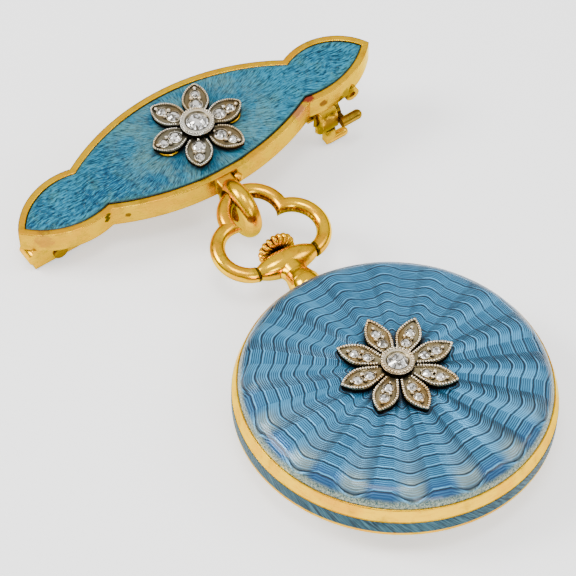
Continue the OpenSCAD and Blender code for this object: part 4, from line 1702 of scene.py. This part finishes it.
@dataclass
class Studio:
    """Pale floor, soft lights and the camera."""

    aim: tuple[float, float, float] = (-1.739, 1.693, 4.5)
    azimuth: float = -33.107
    elevation: float = 48.505
    roll: float = 1.868
    distance: float = 221.253
    lens: float = 156.25
    sensor: float = 36.0
    floor_half: float = 900.0
    floor_below: float = 0.02
    floor_colour: Colour = (0.92, 0.92, 0.92)
    floor_glow: float = 0.85
    sky_strength: float = 1.15

    def camera(self) -> None:
        """Sets the camera at the photograph's angle."""
        data = bpy.data.cameras.new("camera")
        data.lens, data.sensor_width = self.lens, self.sensor
        data.clip_start, data.clip_end = 0.01, 10.0
        made = bpy.data.objects.new("camera", data)
        bpy.context.scene.collection.objects.link(made)
        around_z, up_from_floor, tilt = (math.radians(v) for v in (self.azimuth, self.elevation, self.roll))
        level = math.cos(up_from_floor)
        back = Vector((math.sin(around_z) * level, -math.cos(around_z) * level, math.sin(up_from_floor)))
        right = (-back).cross(Vector((0, 0, 1))).normalized()
        up = right.cross(-back)
        turned_right = right * math.cos(tilt) + up * math.sin(tilt)
        turned_up = up * math.cos(tilt) - right * math.sin(tilt)
        axes = Matrix((turned_right, turned_up, back)).transposed().to_4x4()
        made.matrix_world = Matrix.Translation((Vector(self.aim) + back * self.distance) * MM) @ axes
        bpy.context.scene.camera = made

    def floor(self) -> None:
        """Lays the pale floor."""
        reach = self.floor_half
        work = MeshWork()
        corners = [(-reach, -reach, 0), (reach, -reach, 0), (reach, reach, 0), (-reach, reach, 0)]
        work.add(np.array(corners), [(0, 1, 2, 3)])
        material = Graph("pale_floor").surface({
            "Base Color": self.floor_colour, "Roughness": 0.8, "Specular IOR Level": 0.1,
            "Emission Color": WHITE, "Emission Strength": self.floor_glow})
        place = Matrix.Translation((0, 0, -self.floor_below * MM))
        piece = work.piece("floor", [material], sharp=40, place=place)

    def light(self, name: str, at: tuple[float, float, float], size: float, power: float) -> None:
        """Adds one soft light that faces the piece.

        Args:
            name: Its name.
            at: Its place, in millimetres.
            size: Its width, in millimetres.
            power: Its power in watts.
        """
        data = bpy.data.lights.new(name, "AREA")
        data.size, data.energy = size * MM, power
        lamp = bpy.data.objects.new(name, data)
        bpy.context.scene.collection.objects.link(lamp)
        lamp.location = Vector(at) * MM
        lamp.rotation_mode = "QUATERNION"
        lamp.rotation_quaternion = Vector(at).to_track_quat("Z", "Y")

    def sky(self) -> None:
        """Makes the even surroundings, darker near the horizon."""
        world = bpy.data.worlds.new("studio")
        world.use_nodes = True
        bpy.context.scene.world = world
        tree = world.node_tree
        background = tree.nodes["Background"]
        place = tree.nodes.new("ShaderNodeTexCoord")
        parts = tree.nodes.new("ShaderNodeSeparateXYZ")
        ramp = tree.nodes.new("ShaderNodeValToRGB")
        tree.links.new(place.outputs["Generated"], parts.inputs[0])
        tree.links.new(parts.outputs[2], ramp.inputs[0])
        tree.links.new(ramp.outputs[0], background.inputs[0])
        # Height in the sky, and brightness
        stops = ((0.0, 0.12), (0.22, 0.2), (0.42, 0.75), (1.0, 1.0))
        while len(ramp.color_ramp.elements) < len(stops):
            ramp.color_ramp.elements.new(0.5)
        for element, (at, brightness) in zip(ramp.color_ramp.elements, stops):
            element.position, element.color = at, (brightness, brightness, brightness, 1.0)
        background.inputs[1].default_value = self.sky_strength

    def build(self) -> None:
        """Makes the whole stage."""
        self.camera()
        self.floor()
        self.sky()
        self.light("key", at=(-240, 150, 250), size=150, power=1.3)
        self.light("top", at=(-45, -45, 330), size=110, power=0.42)
        self.light("fill", at=(240, -160, 240), size=140, power=0.35)
        self.light("front", at=(-60, -320, 160), size=100, power=0.3)


def watch_flower(finishes: Finishes) -> Flower:
    """Describes the watch's flower.

    Args:
        finishes: The finishes.

    Returns:
        The flower, ready to build.
    """
    watch = WatchPlace()
    return Flower(
        "watch_flower_setting", "watch_flower", Body.WATCH, watch.matrix(z=watch.rim_z),
        [finishes.silver, finishes.tarnish_and_shade, finishes.recess],
        petals=8, tip=5.37, middle=3.12, half=1.13, wedge=20, top=3.42, skirt=0.5, rim=0.29, floor=0.16,
        grain=0.135, pitch=0.245, collet_r=1.45, collet_top=4.0, stone_r=0.92,
        seats=((2.62, 0.43), (3.8, 0.42)), turn=Pleats().turn)


def brooch_flower(finishes: Finishes) -> Flower:
    """Describes the brooch's flower.

    Args:
        finishes: The finishes.

    Returns:
        The flower, ready to build.
    """
    return Flower(
        "brooch_flower_setting", "brooch_flower", Body.BROOCH, BroochPlace().matrix(),
        [finishes.grey_silver, finishes.tarnish_and_shade, finishes.grey_recess],
        petals=6, tip=4.8, middle=2.93, half=1.27, wedge=28, top=1.1, skirt=0.44, rim=0.25, floor=0.16,
        grain=0.1, pitch=0.207, collet_r=1.6, collet_top=1.71, stone_r=1.05,
        seats=((2.43, 0.6), (3.68, 0.43)), curl=0.1)


def dress_nodes(nodes: dict[str, bpy.types.Object], finishes: Finishes) -> None:
    """Gives the CAD nodes that stay in sight their finishes.

    Args:
        nodes: All CAD nodes by name.
        finishes: The finishes.
    """
    dress(nodes, finishes.frame_gold, "brooch_frame")
    # The pin and the catch take the darker gold as painted shade.
    dress(nodes, finishes.shade_darkened_gold, "pin_stem", "pin_rivet", "safety_catch")
    dress(nodes, finishes.gold, "case_middle", "back_lid", "bezel")
    dress(nodes, finishes.hatched, "middle_enamel")
    dress(nodes, finishes.stone, *[name for name in nodes if "_stone_" in name])
    dress(nodes, finishes.crystal, "glass")
    dress(nodes, finishes.dial, "dial")
    dress(nodes, finishes.brass, "movement")
    dress(nodes, finishes.blued, "hour_hand", "minute_hand")
    dress(nodes, finishes.steel, "winding_stem")
    LOG.info("dressed what stays in sight of %d CAD nodes", len(nodes))


def main() -> None:
    """Dresses the whole part."""
    logging.basicConfig(level=logging.INFO, format="%(name)s %(message)s")
    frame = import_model()
    finishes = Finishes()
    Studio().build()
    dress_nodes(frame["nodes"], finishes)
    EnamelledBack().build(finishes)
    BroochEnamel().build(finishes)
    watch_flower(finishes).build()
    brooch_flower(finishes).build()
    for assembly in (FlowerPosts(), Bow(), Neck(), Crown(), DialFace()):
        assembly.build(finishes)


if __name__ == "__main__":
    main()
